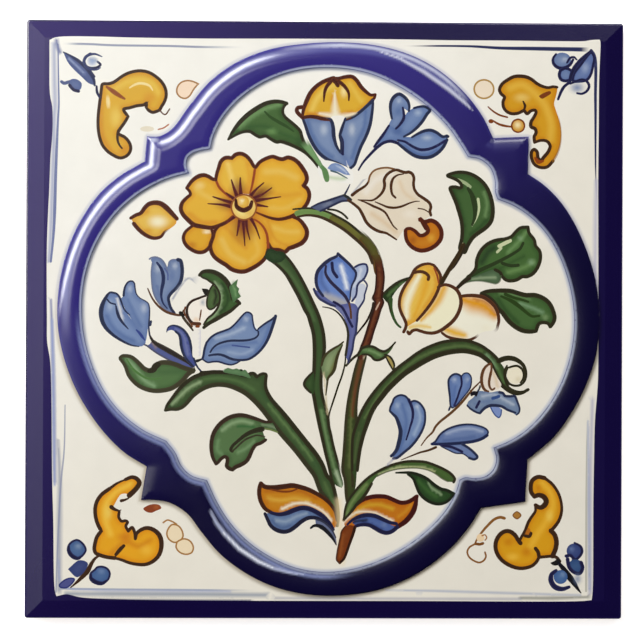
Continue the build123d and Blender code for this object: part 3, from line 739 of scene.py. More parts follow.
FP3 = "462.4,295.8 467.6,295.3 473.7,295.3 482.7,296.8 488.8,300.4 494,305.5 497.6,312.7 498.6,320.9 497.6,325 492,330 485,331 478.8,333.5 476.8,335.8 472.7,338.3 467.6,339.9 460.4,339.4 453.2,338.3 447,336.3 441.9,332.7 446,326.5 452.2,321.4 456.8,315.3 459.9,308.1 461,301"
fill("f3eed8", FP3)
wash("dd971c", (20, 32, 28, 16), "462,299 473,302.5 484,306 494,315", 1.0)
wash("b5661a", (3, 5, 6, 4), "474,298.5 484,301 491,306.5 496,315", 0.6)
wash("e4af34", (12, 16, 11), "444.8,328.4 453.5,332 464,335", 1.0)
blob("f1ead0", 486, 328, 8, 6, 0.9)
line(("4a2a1a", "6a3c20"), (2.4, 3, 3, 3, 3), "433.7,265 429,263.6 422.4,264.5 417.3,267.1 414.2,270.1 412.2,274.2 409.1,279.4 405,285.5 401.4,292.7 399.4,299.9 399.4,307 401.4,313.2 404.5,319.4 406,323.5 405.5,327.6 403.5,331.7")
line(("4a2a1a", "6a3c20"), (2.6, 3, 3, 3, 2.4), "433.7,265 437.8,270.1 440.4,275.3 440.4,281.4 438.8,287.6 435.8,294.7 431.7,301.9 426.5,309.1 421.4,315.3 416.8,320.4")
line(("8a3a1c", "a85a2c"), (1.6, 2, 1.4), "434,268 437,275 438.5,283")
line(("4a2a1a", "6a3c20"), 3, "413.2,272.7 417.3,271.7 422.4,271.7 426.5,273.7 428.6,276.3 428.1,279.4")
line(("4a2a1a", "6a3c20"), (2.6, 3.4, 3.5, 3.5, 3, 3), "438,287 444,284.5 448.1,285 453.2,287.1 457.3,290.6 459.9,295.8 460.9,301.9 459.9,308.1 456.8,315.3 452.2,321.4 446,326.5 439.9,330.6 433.7,332.7 427.6,332.7 421.4,331.2 416.3,329.6 412.2,330.6 409.1,333.7 407.6,331.7")
line(("4a2a1a", "6a3c20"), (3, 3.6, 3.5, 3, 2.4), "462.4,295.8 467.6,295.3 473.7,295.3 482.7,296.8 488.8,300.4 494,305.5 497.6,312.7 498.6,320.9 497.6,325 496.5,329.1 493.5,331.7", fade=(0, 0.15))
line(("4a2a1a", "6a3c20"), (2.4, 3, 3, 2), "441.9,332.7 447,336.3 453.2,338.3 460.4,339.4 467.6,339.9 472.7,338.3 476.8,335.8 478.8,333.5", fade=(0, 0.15))
line(("33240f", "4a3a1c"), (2.8, 3.8, 4.2, 4.2), "463,244.5 457.5,255.5 451,266 446,274.5 441.5,282.5")

# ---- leaf left of the fruit ----
fill("2c411e", "381.4,295.8* 386.5,290.6 392.7,285.5 398.8,281.4 405,278.8 410,277.3* 407,280.4 401.9,284.5 397.8,288.6 394.7,292.7 392.2,296.8 390.6,300.9 388,303")
wash("557240", 3, "388,295 396,288 403,282.5", 0.8)
line(KG, (2, 2.4, 1.6), "381.4,295.8 386.5,290.6 392.7,285.5 398.8,281.4 405,278.8 410,277.3")
line(("2f4a22", "3f5a2e"), (4, 3.4, 2.6, 2), "390.6,299 390.6,308 392.2,314.2 394.7,320.4 397.8,325 400.4,327")
line(KG, 1.4, "387.6,300.9 389.1,306 390.6,311.2")

# ---- brown main stem ----
ST_L = "371.3,256 374.5,261 375.8,268 376.2,280 375,292 372.8,298 375,301.8 373.5,310 370.5,319 366.8,331 363.8,340 360.5,348 359,354 357.8,360"
ST_R = "379.5,254.5 381.8,260 382.8,266 384,277 382.8,289 381.8,298 383.3,301.8 380.3,310 377.7,319 373.5,331 370.5,341.5 367.3,349 366,354 365,360"
fill("55291c", "371.3,256 374.5,261 375.8,268 376.2,280 375,292 372.8,298 375,301.8 373.5,310 370.5,319 366.8,331 363.8,340 360.5,348 359,354 357.8,360* 365,360* 366,354 367.3,349 370.5,341.5 373.5,331 377.7,319 380.3,310 383.3,301.8 381.8,298 382.8,289 384,277 382.8,266 381.8,260 379.5,254.5*")
wash("7d4a2a", 3, "379,268 380,282 378.6,294 377,306 373,320 368.5,334 363,350", 0.6)
line(("2e160e", "4a2414"), (1, 1.8, 2.2, 2), ST_L, fade=(0.15, 0))
line(("2e160e", "4a2414"), (1, 2, 2, 1.8), ST_R, fade=(0.15, 0))
line(("545322", "3c3014"), (7.2, 7.8, 7.8, 7.6), "357,231 362,235.8 367.5,241.5 373.5,250 377.8,259.5 379.6,268", alpha=0.95, fade=(0.3, 0.45))
line("c8a890", (1.2, 1.6, 0.8), "375.8,309.5 377.6,305.8 379.6,302")
line(("241c14", "3a2c20"), (2.2, 2.2, 1.8, 1.2), "373.2,303 372.4,308 369.8,315 366,322 360.5,329 355,336 352.4,340")
blob("2e160e", 373.6, 298.5, 3, 3, 0.9, clip=False)
ST2 = (
    "357.8,359.4* 355.8,365.5 353.7,373.7 351.7,382.9 349.6,392.2 348.1,400.4 346.7,410.6 345.5,422.9 344.5,440 343.5,455 342.5,470 345,480 346,495 347,501* 351,497 355,488 356,478 357,465 359.5,450 361,435 362,425* 356,425"
    " 356,412.7 356.3,403.5 357.3,394.2 358.8,385 360.9,375.8 362.9,367.6 365,359.4*"
)
fill("424c25", ST2)
wash("616e3b", 3, "361,362 357,378 353,396 351,414 350,440 349,466", 0.75)
wash("6a3a22", (9, 9, 7, 4), "361.5,359 359,370 356,384 353.5,400 352,415", 0.9)
blob("d8c4a4", 364.5, 357.5, 2.6, 3, 0.9, clip=False)
line(("33301c", "3f3a20"), (2, 2.6, 2.6, 3, 3), "357.8,359.4 355.8,365.5 353.7,373.7 351.7,382.9 349.6,392.2 348.1,400.4 346.7,410.6 345.5,422.9 344.5,440 343.5,455 342.5,470 345,480 346,495 347,501")
line(("33301c", "3f3a20"), (2, 2.6, 2.6), "365.6,357 365,359.4 362.9,367.6 360.9,375.8 358.8,385 357.3,394.2 356.3,403.5 356,412.7 356,425 353.5,440 352.2,455 352,472 352.5,486")

# ---- green arch at the right ----
AR = (
    "356.5,423* 359.9,414.7 364,406.5 369.1,398.3 375.3,390.1 382.4,381.9 390.6,373.7 398.8,366.5 407,360.4 415.3,354.2 423.5,349.1 432.7,345 441.9,341.9 451.2,340.4 463.7,339.9 474,342.4 481.2,345.5 487.3,349.6"
    " 492.4,353.7 496.5,357.8 498.6,360.4* 504,368 504.2,376.3 505.8,382.4 508.8,387.1 514,390.1 519.1,391.2 524.2,390.6 527.8,389.1* 522.2,392.2 516,393.2 509.9,391.2 504.7,387.6 500.6,383.5 497.6,378.3 494.5,372.2 489.4,361.9"
    " 485.3,358.3 480.1,354.7 472.9,352.2 463.7,350.6 453.5,351.2 443.2,353.2 433.7,356.3 423.5,361.4 413.2,367.6 404,373.7 395.8,380.9 387.6,389.1 380.4,398.3 374.2,406.5 370.1,414.7 367.1,422.9 363,435 359.5,450 357,465 356,480* 351.5,470"
    " 351.5,450 353,435"
)
fill("42552e", AR)
wash("5d7341", 4, "364,418 378,396 396,376 418,358 444,348 466,346 482,351", 0.75)
wash("77976c", 5, "486,354 492,361 497,368", 0.9)
wash("557340", 5, "496,364 500,374 504,382", 0.8)
wash("526137", 3, "359,432 356,446 354,462", 0.7)
line(KG, (2.4, 3, 3, 3, 3), "352,470 351.8,450 353,435 356.8,422.9 359.9,414.7 364,406.5 369.1,398.3 375.3,390.1 382.4,381.9 390.6,373.7 398.8,366.5 407,360.4 415.3,354.2 423.5,349.1 432.7,345 441.9,341.9 451.2,340.4 463.7,339.9 474,342.4 481.2,345.5 487.3,349.6 492.4,353.7 496.5,357.8 498.6,360.4")
line(KG, (3, 4, 5, 5, 4.6, 4, 3), "357,470 359.5,450 363,435 367.1,422.9 370.1,414.7 374.2,406.5 380.4,398.3 387.6,389.1 395.8,380.9 404,373.7 413.2,367.6 423.5,361.4 433.7,356.3 443.2,353.2 453.5,351.2 463.7,350.6 472.9,352.2 480.1,354.7 485.3,358.3 489.4,361.9 494.5,372.2 497.6,378.3 500.6,383.5 504.7,387.6 509.9,391.2 516,393.2 522.2,392.2 525.8,390.1 527.8,389.1")
line(KG, (5, 4.6, 3, 2.2, 2.2), "498.6,360.4 503.7,358.3 508.8,357.6 515,358.8 520.1,361.9 523.7,366 525.6,372.2 525.3,377.3 523.2,381.9 519.6,384.7 515,385.3 510.9,384.3 507.3,381.9")
disc("efe6cc", 515, 374.5, 8.4, 9)
blob("d8ccaa", 518, 379, 5, 5)
line(KG, (2, 2.4, 1.6), "508.8,367.1 511.9,366 517.1,365.5 521.7,368.6 523.4,373.2 522.7,378.3 520.1,382.4")
line(KG, (2, 2, 2), "507.5,367 505.8,371.2 505.2,376.3 507.8,381.4 509,384")
line(KG, (1.6, 2, 2, 1.6), "506.8,365 504.2,370 504.2,376.3 505.8,382.4 508.8,387.1 514,390.1 519.1,391.2 524.2,390.6")

# ---- leaf across the stems ----
LA = "346,365.5* 349.6,361.4 353.7,357.3 357.8,354.2 361.9,348 369.1,346 374.2,347 379.4,350.1 383.5,351.2 387.6,349.6 391.7,346 395.3,341.9* 391,350 385.5,356 382.4,358.3 378.3,359.9 374.2,359.4 371.2,356.3 367.1,354.2 361.9,354.2 355,358"
fill("557240", LA)
wash("7b9a64", 4, "364,350 372,351 380,355", 0.8)
fill("a89554", "384.5,354.2 389.6,356.3 392.7,360.4 394.2,365.5 393.2,369.6 390.5,366 388.6,362.4 385.5,356.3")
line(KG, (2, 2.5, 2.5, 2.5, 1.6), "346,365.5 349.6,361.4 353.7,357.3 357.8,354.2 361.9,348 369.1,346 374.2,347 379.4,350.1 383.5,351.2 387.6,349.6 391.7,346 395.3,341.9")
line(KG, (1.6, 2.4, 2.4), "361.9,354.2 367.1,354.2 371.2,356.3 374.2,359.4 378.3,359.9 382.4,358.3 385.5,356")
line(KG, (1.6, 2, 2, 1.4), "384.5,354.2 389.6,356.3 392.7,360.4 394.2,365.5 393.2,369.6")
line(KG, (1.4, 1.8, 1.4), "385.5,356.3 388.6,362.4 392.7,369.6")

# ---- main stalk, left: it comes down from the big flower ----
MS = (
    "265,257* 275,263.5 285,273 293,286 300,299 305,310 308.1,315 310.6,323.2 313.2,332.4 314.2,341.7 314.4,351.9 314.2,362.2 313.7,372.4 312.7,380.6 312.2,388.8 313.7,396 315.3,405.3 317.3,415.5 319.4,425.8 321.4,435 323.5,444.2 325.5,453.5"
    " 328.1,463.7 330.6,475 332,480 335.5,484.8 341.5,487.5* 343,484 340.9,475 338.3,464.7 335.8,455.5 332.7,444.2 330.6,434 328.6,425.8 328.1,419.6 327.1,413.5 325.5,407.3 322.9,399.1 321.4,390.9 320.9,380.6 321.4,372.4 323.5,356 324.3,347.8"
    " 324,339.6 322.9,331.4 320.9,323.2 318.3,315 313,303 306,288 298,273 290,261 283,253*"
)
fill("425932", MS)
wash("556e41", 5, "276,260 290,274 300,290 308,306 314,320", 0.7)
wash("6d8a58", 5, "321,410 326,436 332,460 338,480", 0.9)
wash("a9ba97", 6, "336,471 339,480 341,486", 0.85)
wash("3c552c", 4, "318,330 319,352 317,374 316,392", 0.8)
line(KG, (2.4, 3.4, 3.6, 3.6, 3.4, 3.4, 3, 2.4), "265,257 275,263.5 285,273 293,286 300,299 305,310 308.1,315 310.6,323.2 313.2,332.4 314.2,341.7 314.4,351.9 314.2,362.2 313.7,372.4 312.7,380.6 312.2,388.8 313.7,396 315.3,405.3 317.3,415.5 319.4,425.8 321.4,435 323.5,444.2 325.5,453.5 328.1,463.7 330.6,475 332,480 335.5,484.8", fade=(0, 0.04))
line(KG, (2.4, 3, 3.4, 3.4, 3, 3, 2.6, 2), "283,253 290,261 298,273 306,288 313,303 318.3,315 320.9,323.2 322.9,331.4 324,339.6 324.3,347.8 323.5,356 321.4,372.4 320.9,380.6 321.4,390.9 322.9,399.1 325.5,407.3 327.1,413.5 328.1,419.6 328.6,425.8 330.6,434 332.7,444.2 335.8,455.5 338.3,464.7 340.9,475", fade=(0, 0.06))
fill("3c552c", "313.2,371 309.1,375.5 305,380.6 304,384.7 307.1,389.4 310.6,392.4 313,394")
line(KG, (2, 2.6, 2), "312.7,371.9 309.1,375.5 305,380.6 304,384.7 307.1,389.4 310.6,392.4")
fill("2e4526", "265.4,256.5 267.6,250 270.5,248.6 276,251 282,252 285.5,256.5 281,262 270,262")
LF = "343.5,341.5* 338.8,345.3 332.7,348.8 327.1,353 323.5,358.1 321.4,365.3 322,372 326,380 325.7,395* 326.5,388.8 327.1,382.7 328.1,377.6 331.7,373.5 334.2,369.4 335.8,362.2 337.3,356 339.9,349.9 342.4,344.7"
fill("8c9c6e", LF)
wash("6b6b35", 4, "339,351 334,364 329,376", 0.85)
wash("cdbd95", 3.4, "323.5,373 325,386 326,400 327.5,414", 0.85, clip=False)
line(("3a341c", "4a4426"), (1.4, 2.2, 2.4, 2), "343.5,341.5 338.8,345.3 332.7,348.8 327.1,353 323.5,358.1 321.4,365.3")
line(("3a341c", "4a4426"), (1.2, 3, 3, 2, 1), "342.4,344.7 339.9,349.9 337.3,356 335.8,362.2 334.2,369.4 331.7,373.5 328.1,377.6 327.1,382.7 326.5,388.8 325.7,395")
line(KG, (1.4, 1.8, 1.8, 1.2), "345.5,355.3 345,362.4 343.5,369.6 341.4,376.8 338.3,385 335.3,394.2 332.2,403.5 329.1,413.7 328.1,423.7")

# ---- blue bud in the middle ----
BB = "337,256* 330,259.5 323,265 317.5,272 316,280 317.5,288 320,294 325,301.9 330,304.5 340,306 350,306* 350,300 350.5,292 352,285 355,279 356,273 352,267 346,261"
fill("6a86c2", BB)
wash("b5b0a8", 14, "326,296 336,300 344,303", 0.85)
wash("e8ecf0", 7, "341,266 344,276 347,288", 0.95)
wash("41568b", 7, "322,272 322,282 328,292", 0.6)
blob("7b8eb4", 334, 274, 6, 8)
SPT = "355,267* 360,264.5 366,264.5 367.5,270 365,277 362.9,279.9 359.9,281.9 357.3,285.5 356.8,290.6 355.8,295.8 352,301* 350.5,292 352,285 355,279 356,273"
fill("a7b2cd", SPT)
wash("d5dae2", 5, "361,269 359,277 354,286", 0.8)
fill("c9cdd8", "357.3,287 361,283.5 365,285 366,290 364.5,294.7 364,299.9 360.9,305 358.3,309.1 355,306 355.8,298")
SEP = "314,289 316,294 320,299 325,301.9 330,304.5 335.3,308 340.4,313 344.5,319 347,327.6 348.1,334.7 347.4,341.9 346.5,349.1 345.5,355.3 348,362* 350.1,356.3 352.2,350.1 353.2,342.9 354.2,337.8 355.8,332.7 356.3,326.5 357,320.4 357.3,314.2 358.3,309.1 355,304 350,303 344,304 336,304"
fill("6a6ea0", SEP)
wash("797ea1", 5, "330,306 340,310 346,318", 0.8)
wash("6b709d", 4, "351,312 353,328 350,346", 0.7)
line(("23263f", "3a3f66"), (2.4, 3.5, 3.5, 3, 2.4), "338,253.5 337,256 330,259.5 323,265 317.5,272 316,280 317.5,288 323,296")
line(("1f2448", "4a3020"), (2, 3, 3.2, 2.6), "326,266 325.5,273 330,281 338,289 345,296 349,303")
line(("23263f", "3a3f66"), (3, 2.6, 1.8, 1.2), "338,254 346,261 352,267 356,273 355,279 352,285 350.5,292 350,300")
line(NV, 3, "332,263 333,271 337,277")
line(("2a2e50", "4a4f78"), 2, "355,267 360,264.5 366,264.5 367.5,270 365,277 362.9,279.9 359.9,281.9 357.3,285.5 356.8,290.6 355.8,295.8 352,301")
line(("2a2e50", "4a4f78"), 1.6, "362.9,279 365,281.4 367.1,285 366,290 364.5,294.7")
line(("2a2e50", "4a4f78"), (1.6, 2.2, 2, 2), "364.5,294.7 364,299.9 360.9,305 358.3,309.1 357.3,314.2 357,320.4 356.3,326.5 355.8,332.7 354.2,337.8 353.2,342.9 352.2,350.1 350.1,356.3 348,362")
line(("2a2e50", "4a4f78"), 2.4, "314,289 316,294 320,299 325,301.9 330,304.5 335,306")
line(("2a2820", "4a4436"), (1, 1.8, 2.4, 2.4), "322.5,306.8 330.1,308.1 335.3,310.6 340.4,315.3 344.5,321.4 347,327.6 348.1,334.7 347.4,341.9 346.5,349.1 345.5,355.3")
line(NV, 2.5, "333.7,301.9 338.3,304.5 341.9,307.1 344.5,311.2 347,316.3 349.6,321.4 352.2,326.5")
line("5a3a24", 2, "349.1,303.5 350.5,310 351,318")

# ---- upper blue flower at the left ----
UB = (
    "151,259.5 156,257.6 161.2,259.6 164.7,263.5 167,268* 168.3,265 170,261.5 173,260 178,260 180.6,261 182,267.6 182,274.7 180.4,281.9 176,288.4 170.9,293.7 168.8,298 169.5,304 171.4,309.1 174,313* 166.8,310.1"
    " 160.6,305 155.5,297.8 152.6,290 151.5,280 151.4,271 152.2,263.5"
)
fill("7b8cac", UB)
blob("b1bbcb", 158, 268, 5, 8)
blob("5f739d", 172, 276, 6, 11)
blob("b7bfcd", 175, 266, 4, 5)
wash("5b6e99", 5, "157,286 161,298 168,308", 0.7)
line("6a7490", 1.5, "149.4,259.4 151.9,257.8 156,257.3 161.2,259.4 164.7,263.5 166.8,268.6 167.8,273.7")
line("6a7490", (1.2, 1.6, 2), "152.4,263.5 151.4,271.7 151.7,279.9 152.9,290.1 155.5,297.8 160.6,305 166.8,310.1 173,313.2")
line("6a7490", 1.2, "168.3,266 169.4,261.9 172.4,259.9 176,259.9")
line(KB, (3.5, 3.4, 3, 2.5), "178.1,259.9 180.6,260.9 182.2,267.6 182.2,274.7 180.6,281.9 176,288.6 170.9,293.7 168.6,297.8 169.4,304 171.4,309.1 174.5,313.2")
line(("1f2748", "34406c"), (2, 3.5, 3.4, 2, 1.2), "157.1,262.9 161.2,268.6 163.4,275.8 163.4,281.9 161.7,290.1 161.4,297.3 163.2,303.5 167.3,308.6")
line(("4a5a8c", "6a7aa8"), 1.6, "164.7,268.6 167.8,273.7 168,280")
line("5a3a24", (1.2, 2, 2.6, 2), "147.8,288.6 150.9,295.8 155,302.4 160.6,308.1 166.8,312.2 173,314.2 179.1,315.3 183.2,314.7")
wash("9096a9", 3.4, "192.4,279.9 189.4,278.3 185.3,280.4 182.2,284.5 179.1,288.6 176,293.7 173,298.8", 0.85, clip=False)

# ---- blue tulip ----
TP1 = (
    "107.5,295 110.2,292.8 113.5,292.9 117,294.2 119.6,297.3 121.9,303.5 124.7,310.1 129,316 134,323 140,331 145,338 145.5,343 142,346.3 137,346.3 131.9,345.5 124.7,342.4 117.6,338.3 111.4,333.7 106.3,328.6"
    " 102.7,322.4 101.2,316.3 101.2,310.1 102.7,304 105.3,298.8"
)
fill("778cb3", TP1)
wash("516999", 8, "107,316 112,326 122,335 134,341", 0.75)
blob("a8b6cb", 110, 306, 5, 8)
wash("e6e4e0", 4.6, "117.5,299 119,306 120.6,312 122,319", 0.8)
TP2 = "123.7,296 124.2,290.6 125.8,285.5 128.8,281.9 132.4,281.4 134.5,283.5 135.2,288.6 136.5,294.2 140.1,298.3 144.7,300.7 148.3,303.5 149.6,308.1 149.6,314.2 149.2,320.4 148,328 147,335 145.5,341 141,334 135,325 130,317 126,311 123,304 121,299"
fill("7b8fb4", TP2)
wash("576f9e", 7, "128,300 134,313 141,326", 0.75)
blob("b1bccf", 130, 289, 4, 6)
blob("b7c1d1", 144, 308, 5, 8)
line(KB, (2.5, 4.5, 4, 3, 2.2, 1), "107.8,294.7 105.3,298.8 102.7,304 101.2,310.1 101.2,316.3 102.7,322.4 106.3,328.6 111.4,333.7 117.6,338.3 124.7,342.4 131.9,345.5 139,346.6")
line(KB, (2, 1.8, 1.2), "107.8,294.7 110.2,292.7 113.5,292.9 117,294.2 119.6,297.3 121.9,303.5 124.7,310.1 129.9,315.3")
line(KB, 1.6, "107.1,299.4 110.4,303 115.5,304.5")
line(KB, (1.5, 3, 2.4, 1), "116,306 117,311.2 119.1,317.3 122.7,322.9 128.3,329.1")
line(("2f3f80", "4a5a98"), (1.5, 3.2, 1), "136.3,330 139,332.5 142,336.5 145,340.5")
line(KB, (2.2, 1.4, 1, 1.4, 1.8), "123.7,295.8 124.2,290.6 125.8,285.5 128.8,281.9 132.4,281.4 134.5,283.5 135.2,288.6 136.5,294.2 140.1,298.3 144.7,300.7 148.3,303.5 149.6,308.1 149.6,314.2 149.2,320.4 148.8,326.5 149.4,333.7 150.9,338.8")
line(KB, 2.2, "151,321.5 150.3,325.2")

# ---- stem and curl below the tulip ----
fill("606799", "152,341 156.5,345.5 164.7,350 172.9,354.5 180.1,358.5 187.3,363 193.5,369.5* 189.4,368.6 183.2,366.5 175,363 166.8,358.8 158.6,354.2 152.4,350.1 147.3,346 150,344")
wash("98816b", 4, "150,340 153,344 156,347", 0.7)
fill("515b96", "167.5,331 169,327.5 173,326 178.1,327 183.2,330 187.3,335 189.9,341 191.4,349 193.5,357.3 196,364.5 192,368 187,362 183.2,355 181,347 179.8,340 178,334.5 174,331 171,330")
wash("7880aa", 3, "176,329 183,335 186,345 188,355", 0.7)
blob("32326d", 189, 364, 5, 5, 0.8)
line(("2a2420", "4a4038"), (2, 4.5, 5, 4, 1.5), "150.4,336.8 152.4,340.4 156.5,344 164.7,348.6 172.9,353.2 180.1,357.3 187.3,361.9 193,367")
line(("4a4a60", "5f6078"), 1.6, "144.2,344.5 147.3,346 152.4,350.1 158.6,354.2 166.8,358.8 175,363 183.2,366.5 189.4,368.6 193.5,369.6")
line(KB, (1, 2, 2.5, 2, 1.6), "166.8,332.2 167.3,329.1 169.4,326.5 173,325.5 178.1,326.5 183.2,329.6 187.3,334.7 189.9,340.9 191.4,349.1 193.5,357.3 196,364.5 198.6,368.6 201.7,371.7")
line(KB, (2, 3, 2.4, 1.5), "175.5,331.5 179.1,334.7 180.6,339.9 181.2,346 183.2,353.2 185.3,357.3 189.4,362.4 194,367")

# ---- white bud and crescent leaf ----
fill("f2ede2", "192.5,327 196,326 200,327 201,335 200.5,346 200,357 196,358 193,357 192.5,345")
wash("cfccd6", 3, "200.5,330 200.8,342 200,355", 0.8)
line(("3a3020", "4a3a28"), (1.4, 2.6, 2.6, 1.6), "183.7,310.1 182.2,314.7 185.3,320.4 189.4,325.5 193,330.6")
line(("14120e", "2a2418"), 3.5, "180.5,313 183,315.5")
line("6a3a1c", 1.5, "185.3,307.1 184.2,311.2 185.8,316.3 189.4,321.4 192.4,326.5")
WB = "205.8,295.8 202.7,296.8 197.6,298.8 192.4,300.9 188.3,305 186.8,310.1 187.8,316.3 190.9,321.4 194.5,324 199,323.5 203.5,324 207,319 209,313 208,308 206.8,302 207,297"
fill("f6eee0", WB)
blob("efc9a0", 196.5, 320, 5, 4)
blob("8997a3", 203, 302.5, 4, 5)
line("6a4428", (1.2, 1.6, 1.0), "201.2,310.1 200.6,314.2 199.6,320.4")
line(("2e2018", "4a3628"), (2, 2.4, 2.6, 2.2), "205.8,295.8 202.7,296.8 197.6,298.8 192.4,300.9 188.3,305 186.8,310.1 187.8,316.3 190.9,321.4 194.5,324")
fill("1c1812", "201.7,288.6* 208.3,289.6 208.8,294.7 205.8,295.8 203.5,293")
line(("4a2818", "7a4a28"), 3.4, "193.5,323.7 199.6,324")
line(("7a3a10", "8a4a20"), 2.4, "196.5,326.5 198.6,326.5")
line("2a2a2a", (3, 1.5), "197,360.9 199.6,360 202.2,358.8")
CRL = (
    "199.6,275.3* 202.7,272.2 207.8,271.2 214,272.2 220.1,275.3 225.3,279.9 229.4,286 231.9,292.7 232.9,298.8 237.1,300.9 239.6,303.5* 236.5,306 230.4,311.2 223.2,315.3 216,319.4 208.8,323.5 203.7,327.6*"
    " 203.7,324.5 207.8,318.3 212.9,314.2 217.6,308.1 219.6,300.9 219.6,294.7 217.6,289.6 214.5,285 210.9,282.4 206.8,279.4 202.7,277.8"
)
fill("456434", CRL)
wash("8fa67c", 4, "215,282 221,292 220.5,304 215,315 208,321", 0.9)
wash("243b1b", 7, "222,284 227,294 227,304 220,312", 0.85)
line(KG, (3, 4, 4.6, 4.6, 4, 3.4), "199.6,275.3 202.7,272.2 207.8,271.2 214,272.2 220.1,275.3 225.3,279.9 229.4,286 231.9,292.7 232.9,298.8 237.1,300.9 239.6,303.5")
line(KG, (2.6, 3.4, 4, 3), "239.6,303.5 236.5,306 230.4,311.2 223.2,315.3 216,319.4 208.8,323.5 203.7,327.6")
line(KG, (1.6, 2.2, 2.4, 2, 1.6), "203.7,324.5 207.8,318.3 212.9,314.2 217.6,308.1 219.6,300.9 219.6,294.7 217.6,289.6 214.5,285 210.9,282.4 206.8,279.4 202.7,277.8 199.6,275.3")
fill("556e3e", "213,285* 209.9,289.6 207.8,295.8 206.8,301.9 207.3,307.1 209.9,309.6 214,308.1 217.6,304 219.1,297.8 217.5,291")
wash("1e1c12", 5, "215,290 216,297 214,304", 0.9)
line(KG, 1.6, "213,285 209.9,289.6 207.8,295.8 206.8,301.9 207.3,307.1 209.9,309.6 214,308.1 217.6,304")
blob("89a283", 234, 284, 4, 5, 0.9, clip=False)
blob("6d8f64", 237, 294.5, 4, 5.5, 0.9, clip=False)

# ---- blue flower right of the bud ----
BF = (
    "239.4,319.1 243.7,314.2 246.8,312.2 250.4,313.2 252.9,315.3 253.2,321.2 255.3,325.3 258.3,328.8* 261.9,325.8 267.1,322.2 272.2,319.1 275.6,316* 274.2,321.2 272.2,327.3 270.1,333.5 267.6,339.6 264,345.8 259.9,350.9"
    " 254.7,355.5 248.6,359.1 241.4,360.1 240.4,360.6 236.3,363.2 231.2,364.7 225,363.7 218.8,361.7 212.7,361.7 207.6,362.4 202.4,359.1* 203.5,355 204.5,348.8 206.5,342.7 210.6,337.6 216.8,333.5 224,330.9 230.1,328.3 235.3,323.7"
)
fill("788db1", BF)
wash("516a9d", 8, "212,350 224,346 240,344 256,342", 0.6)
wash("a8b7cd", 7, "216,338 230,334 244,328", 0.8)
wash("5b73a3", 6, "256,352 264,340 269,328", 0.75)
wash("9aabc6", 6, "228,352 242,354 252,350", 0.7)
blob("b3bfd1", 246, 319, 4, 4)
fill("eef0ee", "253.5,319 254.8,324 258,328.4 256.4,329.4 254.2,326")
line(KB, (2, 2, 1.8, 1.6), "206.5,342.7 210.6,337.6 216.8,333.5 224,330.9 230.1,328.3 235.3,323.7 239.4,319.1 243.7,314.2 246.8,312.2 250.4,313.2 252.2,315.5")
line(KB, 1.5, "252.2,315.5 253,322 254.5,328 257,330.5 258.5,328.5")
line(KB, (1.6, 2, 2), "258.3,328.8 261.9,325.8 267.1,322.2 272.2,319.1 275.6,316")
line(KB, (1.6, 2.2, 2.2, 1.6), "210.1,352.4 212.7,348.3 216.8,344.7 222.9,342.2 231.2,340.6 241.4,340.6 250.6,339.6 255.8,337.6 258.3,334.5 258.3,331.4")
line(("3a4a80", "5a6aa0"), 1.5, "232.2,345.3 240.4,346.3 249.6,347.3")
line(KB, (2, 2.6, 2.2, 2.4, 3, 3), "209.1,355.5 214.7,354.5 219.9,354.5 225,356 229.1,358.1 234.2,359.6 241.4,360.1 248.6,359.1 254.7,355.5 259.9,350.9 264,345.8 267.6,339.6 270.1,333.5 272.2,327.3 274.2,321.2 275.6,316")
line(KB, 2.2, "202.4,359.1 203.5,355 204.5,348.8 206.5,342.7")
line(KB, (1.5, 1.8, 1.4), "202.4,359.1 207.6,362.4 212.7,361.7 218.8,361.7 225,363.7 231.2,364.7 236.3,363.2 240.4,360.6")

# ---- leaf at the lower left ----
LL = (
    "120.1,358.3* 122.2,356.1 125.8,355.8 130.9,356.8 136,360.4 140.1,364.5 144.2,368.6 149.4,370.6 152.9,369.1 154.5,366 157.6,364 162.7,362.4 169.9,362.9 177.1,365 183.2,367.6 189.4,369.6 193.5,370.6* 190.4,372.2"
    " 187.3,374.7 183.2,379.9 177.1,385 170.9,388.6 163.7,390.3 155.5,390.9 147.3,389.6 139.1,386 132.9,380.9 128.3,374.7 125.8,367.6 123.7,363.5"
)
fill("527243", LL)
wash("82a275", 8, "128,360 136,369 144,380 154,386", 0.9)
wash("45643b", 10, "160,372 172,372 184,372", 0.8)
line(("4a703a", "5f8a4a"), (1.6, 2.4, 2, 1.4), "126.8,359.4 133,369 139.1,374 146,378 154,379 161,378")
line(("3c3826", "4a4630"), (3, 4.5, 4.5, 4.4, 4, 3), LL.replace("*", ""), closed=True)
line("2e2a1a", (4, 6, 5), "149.4,371 153,370 155,367 158,364.6")

# ---- big arch leaf running into the slanting stem ----
BA = (
    "165.3,410.1* 166.8,405.5 171.9,398.3 178.1,390.1 185.3,383 193.5,377.3 201.7,374.2 210.9,372.2 223.2,372.2 235.5,373.2 242.7,375.3 247.6,375.5 250.6,373.5 253.7,373.5 256.8,376.5* 259.9,374.5 263.5,373.5 266,374.5"
    " 265.5,380.6 265.5,386.8 267.1,391.9 271.2,399.1 277.3,406.3 283.5,413.5 291.7,423.7 299.9,434 308.1,444.2 316.3,454.5 322.4,464.7 326.5,475 330.8,480 334.9,493.3 337.4,507.7 337.9,518 336.9,525.1*"
    " 334.9,515.9 330.8,505.6 326.8,498.5 320.6,491.3 314.2,475 308.1,466.8 301.9,458.6 294.7,449.4 287.6,441.2 280.4,432.9 271.7,421.7 264,411.4 257.8,404.2 251.7,398.1 244.5,392.4 236.3,388.3 228.3,385.5 218.1,384.5"
    " 207.8,386.5 199.6,390.6 192.4,396.3 187.3,402.4 182.2,407.1 177.1,409.1 170.9,409.1"
)
fill("425932", BA)
wash("8fa679", 6, "172,404 180,396 190,387 200,382", 0.95)
wash("557341", 6, "204,379 222,378 240,382 254,390", 0.7)
